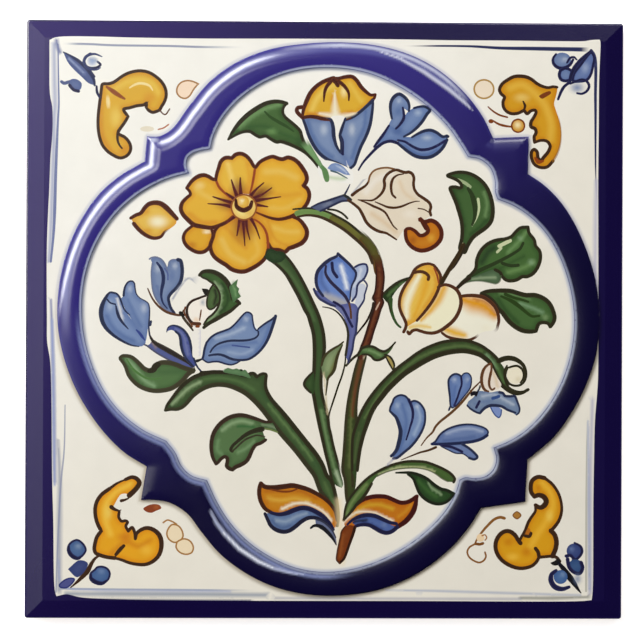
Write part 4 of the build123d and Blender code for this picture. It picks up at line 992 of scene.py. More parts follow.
wash("3c5933", 6, "260,392 272,408 288,428 304,448 318,468", 0.7)
wash("6d8a52", 4, "268,404 282,421 298,441 312,459", 0.6)
wash("556e3e", 5, "324,482 331,498 335,514", 0.7)
line(KG, (2.6, 3.4, 4, 3.4, 3.4), "165.3,410.1 166.8,405.5 171.9,398.3 178.1,390.1 185.3,383 193.5,377.3 201.7,374.2 210.9,372.2 223.2,372.2 235.5,373.2 242.7,375.3 247.6,375.5 250.6,373.5 253.7,373.5 256.8,376.5")
line(KG, (2.6, 3.6, 4.4, 4.4, 4, 3.4, 3), "256.8,376.5 259.9,374.5 263.5,373.5 266,374.5 265.5,380.6 265.5,386.8 267.1,391.9 271.2,399.1 277.3,406.3 283.5,413.5 291.7,423.7 299.9,434 308.1,444.2 316.3,454.5 322.4,464.7 326.5,475 330.8,480 334.9,493.3 337.4,507.7 337.9,518 336.9,525.1")
line(("33321f", "403c26"), (3, 4, 4.6, 4.6, 4.4, 4, 3), "165.3,410.1 170.9,409.1 177.1,409.1 182.2,407.1 187.3,402.4 192.4,396.3 199.6,390.6 207.8,386.5 218.1,384.5 228.3,385.5 236.3,388.3 244.5,392.4 251.7,398.1 257.8,404.2 264,411.4 271.7,421.7 280.4,432.9 287.6,441.2 294.7,449.4 301.9,458.6 308.1,466.8 314.2,475 320.6,491.3 326.8,498.5 330.8,505.6 334.9,515.9 336.9,525.1")
line("2a2616", 3, "201,372.6 218,371.6 235,372.6")
fill("9fb799", "223,371 224.5,368.8 228,368.3 232,369 233,371.6 228,372.4")
fill("3c6e40", "235,371.5 237,369.6 241,369.4 243.5,371.6 243.5,375 239,375.5 235.5,374")
line("22301a", 2, "240.9,369.9 244,372.4 246.5,376.5")

# ---- small leaf below it ----
SL = (
    "271.2,421.7 265,421.7 258.8,419.6 252.7,417.6 245.5,415.5 238.3,415 231.2,416.5 225,419.6 219.9,423.7 215.8,428.8 212.7,435 211.2,442.2 211.2,450.4 212.7,457.6 215.8,463.7* 217.8,462.2 220.9,458.6 224.5,456.5"
    " 227.1,458.1 227.1,461.7 226.5,465.8 229.1,468.3 232.2,469.4* 235.3,466.8 241.4,464.2 246.5,460.6 249.6,455.5 252.2,449.4 255.8,444.7 260.9,442.7 265.5,439.6* 264.5,436.5 262.4,430.9 260.9,427.3* 263,428.3 270.1,429.4 277.3,431.9*"
)
fill("557246", SL)
wash("87a275", 7, "222,430 232,423 242,421 252,423", 0.9)
wash("306132", 5, "238,426 246,426 254,427", 0.85)
wash("6d8e5f", 7, "218,440 217,450 222,454", 0.8)
wash("7b9c6c", 6, "238,452 246,448 254,441", 0.7)
wash("7f926f", 4, "262,424.5 270,425.5 275,428", 0.8)
line(("33251a", "453424"), (2.4, 3.4, 4, 4, 4, 3.6, 3), "271.2,421.7 265,421.7 258.8,419.6 252.7,417.6 245.5,415.5 238.3,415 231.2,416.5 225,419.6 219.9,423.7 215.8,428.8 212.7,435 211.2,442.2 211.2,450.4 212.7,457.6 215.8,463.7")
line(("33251a", "453424"), (3, 3.6, 4, 3.6, 3), "215.8,463.7 217.8,462.2 220.9,458.6 224.5,456.5 227.1,458.1 227.1,461.7 226.5,465.8 229.1,468.3 232.2,469.4* 235.3,466.8 241.4,464.2 246.5,460.6 249.6,455.5 252.2,449.4 255.8,444.7 260.9,442.7 265.5,439.6")
line("6b7a45", 1.6, "260.9,427.3 263,428.3 270.1,429.4 277.3,431.9")
line(("2a2818", "3a3824"), (5, 4, 3, 3), "262,429 256.8,429.9 249.6,432.4 243.5,436 237.3,441.2 232.7,445.3 230.6,449.4 232,450.9")
line(("33321f", "454430"), (1.4, 2, 1.6), "264.5,436.5 256.8,435 251.7,436.5 245.5,439.1 240.4,443.2 236.3,447.3 232.2,450.9")

# ---- green tufts at the left ----
fill("5f8754", "229.4,287 233,283.5 237.8,279.5 236.8,286 239.2,289 238.2,292 240.8,296.5 237,299.2 233.5,302.5 231.4,296 230,291")
wash("7ba06c", 2.6, "233,286 235.6,291 235.6,297", 0.8, clip=False)
fill("6d9163", "223.5,371.6 227.5,367.8 232.5,369.2 237,368.4 241,371.2 245,369.6 248.4,373.6 250.5,378 241,375.4 231,373.8")

# ---- orange leaf, left of the root ----
OL = (
    "260.6,483.1* 264.2,486.2 273.5,487.2 283.7,486.2 291.9,485.1 300.1,486.7 308.3,489.2 316.5,493.3 324.7,498.5 330.9,504.6 335,510.8 337,520 335,527* 332.9,527.2 328.9,521 322.7,514.9 315.5,510.8 307.3,507.7 300.1,507.2"
    " 292.9,509.7 285.8,512.8 278.6,513.8 271.4,512.3 265.3,508.7 261.2,502.6 259.1,495.4 259.1,488.2"
)
fill("c6811a", OL)
wash("d8a63b", 8, "268,498 280,500 294,498 308,500", 0.85)
wash("af5f16", 6, "266,491 282,491 300,491 316,498", 0.6)
wash("f0e6cc", 5, "281.7,508.7 292.9,503.6 303.2,502.6 313.5,505.6 323.7,511.8 330.9,520", 0.95)
blob("b76c15", 266, 502, 5, 7, 0.7)
BLo = (
    "264.7,513.3* 271.4,512.3 278.6,513.8 285.8,512.8 292.9,509.7 300.1,509 307.3,509.5 315.5,512.5 322.7,517 328.9,523 332.9,530 331.9,530.3 327.8,525.1 321.7,520 315.5,517.4 308.3,517.4 301.2,521 295,526.2 288.8,530.3"
    " 282.7,531.3 275.5,529.2 270.4,525.1 267.3,519"
)
fill("697fa1", BLo)
wash("91a2b6", 6, "276,520 286,521 296,516 306,513", 0.8)
wash("415681", 6, "272,520 280,527 290,525", 0.6)
blob("26305a", 319, 514, 7, 4, 0.9, turn=25)
line(("3a1c10", "5a3018"), (4, 5, 4.6, 4, 3.4, 3), "260.6,483.1 264.2,486.2 273.5,487.2 283.7,486.2 291.9,485.1 300.1,486.7 308.3,489.2 316.5,493.3 324.7,498.5 330.9,504.6 335,510.8 337,520")
line(("3a1c10", "5a3018"), (4, 4, 4, 3.4), "260.6,483.1 259.1,488.2 259.1,495.4 261.2,502.6 265.3,508.7 271.4,512.3")
line("7a3a10", (1.4, 2, 1.4), "270,489 280,491 290,491 297,488.5")
line(("1a1a3a", "2a2c50"), (3, 4.5, 4.5, 4.2, 3), "271,512.5 279,514 287,512.5 294,509.5 301,507.5 308,508 316,511.5 323,516 329,522.5 333,529")
line(("1a1a2a", "2e3050"), (3, 4, 4, 3.6, 3), "264.7,513.3 267.3,519 270.4,525.1 275.5,529.2 282.7,531.3 288.8,530.3 295,526.2 301.2,521 308.3,517.4 315.5,517.4 321.7,520 327.8,525.1 331.9,530.3")
fill("757c96", "315,519* 321,520.5 327,524.5 332,530 335.5,537 336.5,544* 332,537.5 327,531.5 322,527.3 316,525")
wash("5b606d", 4, "326,528 332,535 335,541", 0.8)
line(("14141a", "2a2a34"), (2, 4, 3.4, 1), "310.5,527.5 313.5,525.3 318,525.2 323,527.8 328,532.5 332.5,538 336,544.5")
line(("2a2c40", "4a4c60"), (1.4, 1.8, 1.2), "316,519 321,520.5 327,524.5 332,530 335.5,537")

# ---- orange leaf, right of the root ----
OR = (
    "343.3,519.5* 345.4,515.4 350.5,509.2 356.7,503.1 362.8,499 371,496.4 379.2,495.7 386.4,496.4 393.6,499.5 400.8,502.1 406.9,501.5 412.1,499 416.4,495.9* 415.6,502.1 413.6,509.2 410,515.4 404.9,521 399.7,524.6 395.6,527.2"
    " 391.5,530.8 386.4,532.3 380.3,530.8 374.1,527.2 369,524.6 362.8,524.1 356.7,525.1 352.6,527.7 345,526"
)
fill("bf7016", OR)
wash("cf9d28", 8, "352,515 364,506 378,504 392,508", 0.9)
wash("b7630e", 6, "360,501 376,499 392,503 408,504", 0.6)
wash("cf8f23", 6, "398,516 405,511 411,504", 0.7)
wash("f0e6cc", 4.4, "344,521 349,516 356,511.8 364,511 374,512 384,516.5 392,520", 0.9)
fill("586ea4", "352,522 359,518 367,516.5 375,517.5 383,521 390,524 395,526.2 391,530 386,531.5 380,530 374,527 369,524.6 362.8,524.1 356.7,525.1")
wash("2c3c74", 4, "362,521 371,524 381,528.5", 0.8)
wash("1a1a2a", 7, "345,523.5 355,521 366,519.5", 0.9)
blob("6d7fa7", 384, 524, 4, 4, 0.8)
line(("3a1010", "5a2414"), (3, 4, 4.2, 4, 4), "343.3,519.5 345.4,515.4 350.5,509.2 356.7,503.1 362.8,499 371,496.4 379.2,495.7 386.4,496.4 393.6,499.5 400.8,502.1 406.9,501.5 412.1,499 416.4,495.9")
line(("3a1010", "5a2414"), (3, 5, 5, 4), "416.4,495.9 415.6,502.1 413.6,509.2 410,515.4 404.9,521 399.7,524.6 395.6,527.2")
line(("1a1a3a", "2a2c50"), (3.6, 4, 4, 3.4, 3), "397,526.5 391.5,530.8 386.4,532.3 380.3,530.8 374.1,527.2 369,524.6 362.8,524.1 356.7,525.1 352.6,527.7")
line(("1a1a3a", "2a2c50"), (2, 4, 4, 3), "347,524 352,519.5 359,516 367,514.5 375,515.5 383,519 390,522 396,523")

# ---- root ----
wash("f0d9a8", (12, 14, 10), "338,500 340,530 342,562", 0.6, clip=False)
fill("7a3d18", "345.4,525.6 341.3,530.8 340.3,535.9 338.2,545.1 336.7,553.3 336.4,559.5 339.2,562.4 343.3,558.5 346.4,551.3 349.5,542.1 352.6,533.8 354.6,526.7 350,524.5")
wash("985423", 4, "343,534 341,545 339.5,556", 0.7)
line(("2a1408", "4a2614"), (3, 2.6, 2.4), "354.6,526.7 352.6,533.8 349.5,542.1 346.4,551.3 343.3,558.5 339.2,562.4")
line(("4a2614", "6a3a1c"), 1.6, "345.4,525.6 341.3,530.8 340.3,535.9 338.2,545.1 336.7,553.3 336.4,559.5 339.2,562.4")

# ---- arching stalk and the leaf at its right ----
AS = (
    "343.5,519* 345.1,507.7 347.7,500.5 354.4,491.3 361.5,483.1 369.7,475.9 377.9,470.8 387.2,466.2 396.4,463.1 406.7,461 415.9,460.8 425.1,461.5 434.4,464.6 443.6,468.7 450.8,473.3 454.4,478.5 453.3,481.5* 447.7,481"
    " 441.5,477.9 435.4,473.3 428.2,469.7 419,467.7 409.7,467.5 400.5,468.2 392.3,469.7 384.1,472.3 376.9,475.9 372.8,481 370.8,485.1 366.7,491.3 361.5,498.5 357.4,502.6 351.3,510.8"
)
fill("526e37", AS)
wash("b9bf8a", 3, "378,473.5 390,469 404,466.5 420,467 434,471", 0.8)
wash("778a51", 5, "366,484 358,493 351,503 346,514", 0.8)
wash("3c552c", 4, "366,480 376,473 388,468.5", 0.5)
line(KG, (2, 2.5, 2.6, 2.6, 2.6), "343.5,519 345.1,507.7 347.7,500.5 354.4,491.3 361.5,483.1 369.7,475.9 377.9,470.8 387.2,466.2 396.4,463.1 406.7,461 415.9,460.8 425.1,461.5 434.4,464.6 443.6,468.7 450.8,473.3 454.4,478.5 453.3,481.5")
line(("4a5030", "5f6a40"), (1.4, 1.4, 1.2), "447.7,481 441.5,477.9 435.4,473.3 428.2,469.7 419,467.7 409.7,467.5 400.5,468.2 392.3,469.7 384.1,472.3 376.9,475.9", alpha=0.8)
line(KG, (2.4, 3, 3, 2.6, 2), "371.5,483 366.7,491.3 361.5,498.5 357,503 351.3,510.8 345,518")

# ---- lower right leaf of the spray ----
LRL = (
    "395.4,472.3* 402.6,472 410.8,472.3 419,474.4 427.2,478.5 433.3,483.6 440.5,488.2 446.7,489.7 453.6,493.3* 449.7,498.5 444.6,502.1 438.5,503.4 431.3,502.1 424.1,497.9 419,492.3 415.9,485.1 412.8,477.9 407.7,473.8"
)
fill("2e4c26", LRL)
wash("3c612e", 7, "418,480 426,489 436,496", 0.85)
wash("859d73", 3, "428,482 431,487 436,490.5 441,494", 0.9)
line(("1a1e12", "2a3420"), (1.6, 3, 3, 3, 3), "395.4,472.3 402.6,472 410.8,472.3 419,474.4 427.2,478.5 433.3,483.6 440.5,488.2 446.7,489.7 453.6,493.3")
line(("1a1e12", "2a3420"), (2.4, 3, 3, 2.4), "453.6,493.3 449.7,498.5 444.6,502.1 438.5,503.4 431.3,502.1 424.1,497.9 419,492.3 415.9,485.1 412.8,477.9 407.7,473.8")

# ---- blue flower under the arch ----
BA2 = (
    "400.9,394.7 396.8,395.8 393.7,398.3 392.2,402.4 390.1,407 389.6,410.6 392.7,413.7 395.8,416.8 398.7,424.1 400.3,430.3 399.7,437.4 398.2,443.6 396.2,449.7 392.6,454.4 393,458* 396.7,457.4 403.8,451.8 410,446.7 416.2,439.5"
    " 421.3,431.3 424.4,423.1 425,416.8 424.5,410.6 421.9,405.5 418.3,401.9 414.2,400.4 410.1,401.4 408.6,399.4 405,395.8"
)
fill("7389b1", BA2)
wash("4e6799", 8, "402,404 406,420 404,436 399,450", 0.75)
wash("9aadc8", 6, "417,406 420,418 414,434", 0.85)
blob("b7c3d3", 417, 406, 4, 4)
blob("a4b4ca", 397, 405, 4, 5)
line(KB, 2, "389.6,410.6 390.1,407 392.2,402.4 393.7,398.3 396.8,395.8 400.9,394.7 405,395.8 408.6,399.4 410.1,401.4 414.2,400.4 418.3,401.9 421.9,405.5 424.5,410.6 425,416.8")
line(KB, (2, 3.4, 4, 4, 3), "389.6,410.6 392.7,413.7 395.8,416.8 398.7,424.1 400.3,430.3 399.7,437.4 398.2,443.6 396.2,449.7 392.6,454.4")
line(KB, (2, 2.5, 2.5), "425,416.8 424.4,423.1 421.3,431.3 416.2,439.5 410,446.7 403.8,451.8 396.7,457.4 393,458")
line(NV, (3, 2.6, 2, 1.5), "408.6,399.4 411.2,405.5 412.7,411.7 412.2,418.8 410,426.2 407.9,433.3 405.9,439.5")
wash("9191a9", 3.4, "392.6,459 390,461.6 387.4,464.1", 0.9, clip=False)
line(KB, 3, "391,455.5 393.5,453.5")

# ---- thin brown sprig and the small blue flower on it ----
line(("5a3a20", "7a5430"), (1, 2.4, 2.5, 2.2, 1), "480.1,381 474,387 469.9,391.7 465.8,396.8 460.6,402.9 455.5,408.1 450.4,412.7 445.3,416.8 440.1,420.9 435,426.5 432.6,431.3 426.4,437.4 420.8,445.1")
line("4a3018", (2.4, 2, 1.4, 0.8), "435.6,446.7 428.5,449.7 420.3,451.8 412.1,454.9 400.8,459.5")
SBF = "448.6,378.8 451.2,375.3 455.3,373.5 459.4,374.7 460.9,376.3* 463.5,373.2 467.6,372.7 470.6,375.8 471.2,380.9 470.1,387.1 467.6,391.2 462,398 456,405 452.2,407.6 450.3,405.5 449.6,396.3 448.6,388.1 448.1,381.9"
fill("6d84b1", SBF)
blob("b1bdd1", 454, 379, 4, 4)
blob("a8b6cd", 467, 379, 3, 4)
wash("4f679d", 5, "455,386 454,396 453,404", 0.7)
line(KB, (2, 2, 2, 1.4), "460.9,376.3 459.4,374.7 455.3,373.5 451.2,375.3 448.6,378.8 448.1,381.9 448.6,388.1 449.6,396.3 450.3,405.5 452.2,407.6")
line(KB, 1.3, "460.9,376.3 463.5,373.2 467.6,372.7 470.6,375.8 471.2,380.9 470.1,387.1 467.6,391.2 462,398 456,405 452.2,407.6")
line(NV, 2, "460.9,376.3 461.4,384 459.4,390.1 456.8,398.3 454,405")
line(KB, 1.8, "450.3,405.5 448.6,409.6")

# ---- drooping bud under the curl ----
DB = "490.4,363.2* 486.8,365 483.7,368.6 481.7,374.2 481.2,379.4 482.2,385.5 484.7,389.6 487.8,391.2 494,390 499,388 501,384 497.6,378 494,371"
fill("e9dccb", DB)
wash("dcc6a4", 5, "493,372 496,380 497,386", 0.9)
line(("5a3820", "7a5030"), (2, 3, 3, 2.4), "490.4,363.2 486.8,365 483.7,368.6 481.7,374.2 481.2,379.4 482.2,385.5 484.7,389.6 487.8,391.2")
line(("5a3820", "7a5030"), (1.6, 2.6, 2.4, 1.6), "490.9,363.5 491.2,369.1 489.9,375.3 488.8,381.4 489.4,386.5 491.9,389.4 494.5,387.6")

# ---- folded blue flower below it ----
FB = (
    "480.1,382.4* 478,390 482,390.5 490,392 498.6,390.6 502.7,392.7 504.7,395.3 509.9,395.8 514.5,395.8 516.5,399.9 518.1,402.9 519.3,408.1 518.6,412.2 516,414.4 512.9,412.7 508.8,410.1 504.7,408.1 500.6,407 496.5,405 492.4,405"
    " 489.4,405.5 485.3,407 482.2,409.6 479.6,412.7 477.1,412.2 472.9,410.1 469.9,408.1 466.8,405 468,401 473,397 476,392"
)
fill("7e8fa7", FB)
wash("b1bbc9", 5, "482,396 494,394 504,399 513,404", 0.8)
wash("5b7099", 5, "474,403 482,401 492,400", 0.6)
fill("7e91c2", "490.4,407 492.4,411.2 495.5,415.3 498.6,417 500.6,414.2 501.2,409.1 496,405.5")
line(("2f4a80", "5068a0"), 1.2, "490.4,407 492.4,411.2 495.5,415.3 498.6,417 500.6,414.2 501.2,409.1")
fill("14141c", "469.9,393.2 472.9,390.6 477.1,390.6 479.6,384.5 480.6,386.5 478.1,391.7 476,396.3 474,394.7 470.9,395.8")
line(KB, (2.6, 2.4, 2, 1.4), "499.1,391.7 502.7,392.7 504.7,395.3 509.9,395.8 514.5,395.8 516.5,399.9 518.1,404 519.3,408.1 518.6,412.2 516,414.4")
line(("2f4a80", "4a5f94"), 3, "492.4,397.8 495.5,397 498.6,395.8")
line(NV, 2.5, "476,407 477.6,404 479.1,400.9")
line(KB, (2.4, 3, 2.6, 2), "479.6,412.7 482.2,409.6 485.3,407 490,405 496.5,405 501.7,406 506.8,409.1 515,412.2")
line(KB, (1.6, 2, 2), "466.8,405 469.9,408.1 472.9,410.1 477.1,412.2 479.6,412.7")
line("5a3820", 1.2, "469.9,390.6 476,385.5 480.1,380.9")

# ---- lower blue flower ----
LB1 = (
    "435,441 440.1,433.7 447.3,428.6 455.5,425.5 463.7,424 471.9,424 479.1,425.5 485.3,428.1 487.8,431.2 486.8,434.7 482.2,437.8 475,440.4 465.8,441.9 455.5,442.9 445.3,443.5 438.1,444.5 431.5,443.5"
)
fill("6b7ea7", LB1)
wash("a4b1ca", 6, "446,433 458,429 472,428 482,431", 0.8)
wash("4a5f8f", 5, "444,440 458,438 474,436", 0.6)
LB2 = "438.1,444.5 453.5,443 461.7,443.5 467.8,447 472.9,451.2 476.5,455.3 477.3,457.3 474,458.8 468.8,457.3 462.7,453.2 455.5,452.7 448.3,449.6 441.2,446"
fill("7788ae", LB2)
line(KB, (2, 2, 1.8, 1.6), "431.5,443.5 435,441 440.1,433.7 447.3,428.6 455.5,425.5 463.7,424 471.9,424 479.1,425.5 485.3,428.1 487.8,431.2 486.8,434.7")
line(("1c2240", "34406c"), (2.6, 3, 3, 3), "431.5,443.5 445,443.5 465.8,441.9 475,440.4 482.2,437.8 486.8,434.7")
line(KB, 2.4, "461.7,443.5 467.8,447 472.9,451.2 477,456.5 474,458.8 468.8,457.3")
line(NV, 2.6, "441.2,445 449.4,446 455.5,448.1 461.7,451.2")
line(KB, 1.2, "441.2,446 448.3,449.6 455.5,452.7 462.7,453.2 468.8,457.3")

# =============================================================================================
# Plan of the raised moulding, in millimetres: runs from one corner of the outline to the next.
# =============================================================================================
OUTER = [
    [(-44.8, 45.8), (-41.6, 45.9), (-38.6, 47.7), (-34.4, 53.3), (-29.5, 59.3), (-22.7, 64.4), (-14.2, 67.8), (-5.1, 69.3), (3.7, 69.7), (13.0, 68.9), (21.6, 66.5), (28.6, 62.7), (34.7, 57.4), (39.3, 51.5), (42.1, 45.9)],
    [(42.1, 45.9), (51.1, 46.3)],
    [(51.1, 46.3), (50.9, 36.9)],
    [(50.9, 36.9), (54.9, 34.2), (59.1, 30.0), (62.7, 24.5), (65.8, 17.7), (68.0, 10.5), (68.9, 4.2), (69.0, -1.9), (68.1, -9.2), (65.8, -16.0), (62.3, -22.8), (57.6, -29.3), (51.1, -34.9)],
    [(51.1, -34.9), (50.5, -45.5)],
    [(50.5, -45.5), (39.4, -47.1)],
    [(39.4, -47.1), (36.8, -51.3), (33.0, -56.0), (27.7, -60.7), (21.2, -64.8), (13.7, -67.7), (4.7, -69.1), (-4.6, -68.8), (-12.9, -66.8), (-20.2, -63.2), (-26.2, -58.6), (-30.8, -53.2), (-34.3, -48.7), (-38.6, -46.0), (-42.3, -45.3), (-45.9, -45.3)],
    [(-45.9, -45.3), (-44.5, -36.9)],
    [(-44.5, -36.9), (-50.0, -33.5), (-54.7, -29.0), (-58.9, -23.5), (-62.5, -17.2), (-65.2, -10.2), (-66.8, -2.7), (-67.0, 4.4), (-66.1, 11.7), (-63.9, 19.2), (-60.5, 26.1), (-56.1, 32.0), (-51.4, 36.0), (-48.1, 38.0), (-45.4, 39.5)],
    [(-45.4, 39.5), (-44.8, 45.8)],
]
INNER = [
    [(-28.9, 42.7), (-28.1, 46.1), (-25.9, 50.4), (-22.6, 54.4), (-18.1, 58.0), (-12.1, 61.1), (-5.1, 62.9), (3.0, 63.2), (10.8, 61.9), (18.1, 58.8), (24.8, 54.4), (30.5, 48.9), (33.5, 44.8), (35.8, 41.1)],
    [(35.8, 41.1), (38.8, 40.5), (41.4, 38.4), (42.6, 35.1), (42.7, 32.2), (43.3, 30.5)],
    [(43.3, 30.5), (47.5, 28.8), (51.9, 25.8), (55.8, 21.6), (58.9, 16.3), (61.2, 10.0), (62.5, 3.3), (62.6, -2.9), (61.5, -9.7), (59.1, -16.4), (55.5, -22.4), (50.8, -27.4), (46.5, -30.2), (42.5, -31.9)],
    [(42.5, -31.9), (43.2, -34.7), (42.5, -37.3), (40.5, -39.1), (37.7, -39.6), (35.4, -39.4), (34.0, -40.0)],
    [(34.0, -40.0), (32.9, -43.5), (30.2, -48.1), (26.0, -52.6), (20.2, -57.0), (13.4, -60.5), (6.4, -62.6), (-0.4, -63.2), (-6.9, -62.2), (-12.9, -59.7), (-18.7, -55.9), (-23.3, -51.2), (-26.6, -46.2), (-28.2, -43.0), (-29.4, -40.3)],
    [(-29.4, -40.3), (-33.3, -39.1), (-35.9, -36.6), (-37.3, -33.5), (-39.6, -30.5)],
    [(-39.6, -30.5), (-45.7, -27.6), (-51.0, -23.4), (-55.3, -17.9), (-58.3, -11.5), (-60.2, -4.8), (-60.9, 1.8), (-60.5, 8.5), (-58.9, 15.1), (-56.1, 21.2), (-52.2, 26.6), (-47.2, 31.1), (-41.7, 34.3), (-37.4, 35.9), (-34.2, 36.6)],
    [(-34.2, 36.6), (-34.9, 38.5), (-34.6, 40.4), (-33.3, 41.6), (-31.3, 42.3), (-28.9, 42.7)],
]
SIDE, BODY, RIM_WIDTH, RIM_DROP, ARRIS, FOOT = 150.0, 8.0, 4.5, 0.9, 0.5, 0.3
BEAD = 1.7


def closed_run(runs):
    parts = [through(to_px(r)) for r in runs]
    return np.vstack([q[:-1] for q in parts])


outer_px, inner_px = closed_run(OUTER), closed_run(INNER)


OUT_Q = outer_px[thin(outer_px, 0.06, 3.0, True)]
IN_Q = inner_px[thin(inner_px, 0.06, 3.0, True)]
PANEL = curve(
    "50,41* 55,38.5 65,37.3 100,37.5 130,38.3 160,38.8 200,39.3 300,39.4 400,40 450,40.8 500,41 560,41.6 585,41.5 591,40.5 599.5,40* 600.3,42 599.8,60 599,80 598.5,130 598,175 598,250 598,340"
    " 597.5,380 596.5,395 594.5,420 593.5,460 592.8,500 592,590 591,599* 580,600 400,600.2 200,600 120,599 80,597 66,594 56,596* 54.4,590 53,520 52,480 51,380 50,360 47.2,342 47,320 46.8,280 47,250"
    " 48,220 49.5,190 50.5,165 51,155 52.3,140 53,128 53,115 52.5,106 50.8,98 50,88 50,60",
    True,
)
PANEL_Q = PANEL[thin(PANEL, 0.08, 4.0, True)]




def rounded(half, radius, gap, steps=3):
    """A square's outline with round corners, in millimetres, anticlockwise, points about gap apart."""
    out = []
    flat = 2 * (half - radius)
    n = max(1, int(round(flat / gap)))
    for k in range(4):
        a = k * math.pi / 2
        rot = np.array([[math.cos(a), -math.sin(a)], [math.sin(a), math.cos(a)]])
        for i in range(n):
            out.append((rot @ np.array([half, -half + radius + flat * i / n]), a))
        for i in range(steps):
            b = (math.pi / 2) * i / steps
            out.append((rot @ (np.array([half - radius, half - radius]) + radius * np.array([math.cos(b), math.sin(b)])), a + b))
    return np.array([p for p, _ in out]), np.array([a for _, a in out])


edge_mm, edge_turn = rounded(SIDE / 2 - ARRIS, 0.2, 1.45)
EDGE_Q = to_px(edge_mm)
crease_mm, _ = rounded(SIDE / 2 - RIM_WIDTH, 1.2, 1.3)
CREASE_Q = to_px(crease_mm)


def inside(points, poly, chunk=4_000_000):
    """Which points lie in the closed polygon."""
    points = np.asarray(points, float)
    out = np.zeros(len(points), bool)
    box = (points[:, 0] >= poly[:, 0].min()) & (points[:, 0] <= poly[:, 0].max()) & (points[:, 1] >= poly[:, 1].min()) & (points[:, 1] <= poly[:, 1].max())
    at = np.where(box)[0]
    x1, y1 = poly[:, 0], poly[:, 1]
    x2, y2 = np.roll(x1, -1), np.roll(y1, -1)
    dy = np.where(y2 == y1, 1e-12, y2 - y1)
    step = max(1, chunk // len(poly))
    for i in range(0, len(at), step):
        k = at[i : i + step]
        px, py = points[k, 0:1], points[k, 1:2]
        cross = ((y1 > py) != (y2 > py)) & (px < (x2 - x1) * (py - y1) / dy + x1)
        out[k] = cross.sum(1) % 2 == 1
    return out


def nearest(points, a, b, ra=None, rb=None, chunk=3_000_000):
    """Least distance from each point to the segments a-b, with where along and which. With radii, least of distance less radius."""
    n = len(points)
    dist, seg, along = np.empty(n), np.empty(n, int), np.empty(n)
    ab = b - a
    ll = np.maximum((ab**2).sum(1), 1e-12)
    step = max(1, chunk // len(a))
    for i in range(0, n, step):
        p = points[i : i + step]
        t = np.clip(((p[:, None, :] - a[None]) * ab[None]).sum(2) / ll[None], 0, 1)
        d = np.hypot(*np.moveaxis(p[:, None, :] - (a[None] + t[..., None] * ab[None]), 2, 0))
        score = d if ra is None else d - (ra[None] + (rb - ra)[None] * t)
        k = score.argmin(1)
        rows = np.arange(len(p))
        dist[i : i + step], seg[i : i + step], along[i : i + step] = d[rows, k], k, t[rows, k]
    return dist, seg, along


# ---- the face's surface: its edges follow every painted edge, the moulding and the rim ------------
verts, edges = [], []


def chain(q, closed):
    base = len(verts)
    verts.extend(map(tuple, q))
    edges.extend((base + i, base + i + 1) for i in range(len(q) - 1))
    if closed:
        edges.append((base + len(q) - 1, base))


for q in (EDGE_Q, CREASE_Q, PANEL_Q, OUT_Q, IN_Q):
    chain(q, True)
for q, closed in CHAINS:
    chain(q, closed)
for sx, sy in ((1, 1), (1, -1), (-1, 1), (-1, -1)):  # the rim's mitres
    reach = np.linspace(SIDE / 2 - ARRIS - 0.25, SIDE / 2 - RIM_WIDTH + 0.1, 6)
    chain(to_px(np.c_[reach * sx, reach * sy]), False)
on_tile = to_px(rounded(SIDE / 2 - ARRIS - 0.4, 0.2, 5.0)[0])
dots = np.vstack(DOTS) if DOTS else np.zeros((0, 2))


def hexes(spacing, box):
    x0, y0, x1, y1 = box
    rows = np.arange(y0, y1, spacing * math.sqrt(3) / 2)
    out = []
    for i, y in enumerate(rows):
        xs = np.arange(x0 + (spacing / 2 if i % 2 else 0), x1, spacing)
        out.append(np.c_[xs, np.full(len(xs), y)])
    return np.vstack(out)


def spaced(points, old, gap):
    """The points that are at least gap from every old one."""
    tree = KDTree(len(old))
    for i, (x, y) in enumerate(old):
        tree.insert((x, y, 0.0), i)
    tree.balance()
    keep = [tree.find((x, y, 0.0))[2] >= gap for x, y in points]
    return points[np.array(keep, bool)] if len(points) else points


# dots first, thinned against each other on a fine grid and against the chains
cell = {}
for x, y in dots:
    cell.setdefault((int(x / 1.1), int(y / 1.1)), (x, y))
dots = spaced(np.array(list(cell.values())).reshape(-1, 2), np.array(verts), 0.55)
dots = dots[inside(dots, on_tile)] if len(dots) else np.zeros((0, 2))
base = np.vstack([np.array(verts), dots])
grid_fine = hexes(1.9, (60, 45, 600, 600))
ring_pts = grid_fine[inside(grid_fine, outer_px) & ~inside(grid_fine, inner_px)]
grid_fill = hexes(2.6, (40, 30, 610, 610))
got = np.zeros(len(grid_fill), bool)
for op in OPS:
    if op["kind"] == "fill":
        got |= inside(grid_fill, op["poly"])
fill_pts = grid_fill[got]
ring_pts = spaced(ring_pts, base, 1.15)
fill_pts = spaced(fill_pts, base, 1.4)
for q, way in ((OUT_Q, -1), (IN_Q, 1)):
    t_ = np.roll(q, -1, 0) - np.roll(q, 1, 0)
    t_ /= np.hypot(*t_.T)[:, None]
    n_ = np.c_[-t_[:, 1], t_[:, 0]]
    if not inside(q[:1] + n_[:1] * 1.0 * way, outer_px)[0] or inside(q[:1] + n_[:1] * 1.0 * way, inner_px)[0]:
        way = -way
    for off in (0.9, 1.9, 3.1, 4.4):
        row = q + n_ * off * way
        row = row[nearest(row, q, np.roll(q, -1, 0))[0] > off - 0.15]
        row = row[inside(row, outer_px) & ~inside(row, inner_px)]
        base = np.vstack([base, spaced(row, base, 0.75)])
    for off in (0.9, 2.0, 3.6, 5.6):
        row = q - n_ * off * way
        row = row[nearest(row, q, np.roll(q, -1, 0))[0] > off - 0.15]
        row = row[inside(row, on_tile) & (inside(row, inner_px) | ~inside(row, outer_px))]
        base = np.vstack([base, spaced(row, base, 1.0)])
ring_pts = spaced(ring_pts, base, 1.15)
base = np.vstack([base, ring_pts, fill_pts])
grid_wide = hexes(5.2, (15, 15, 640, 640))
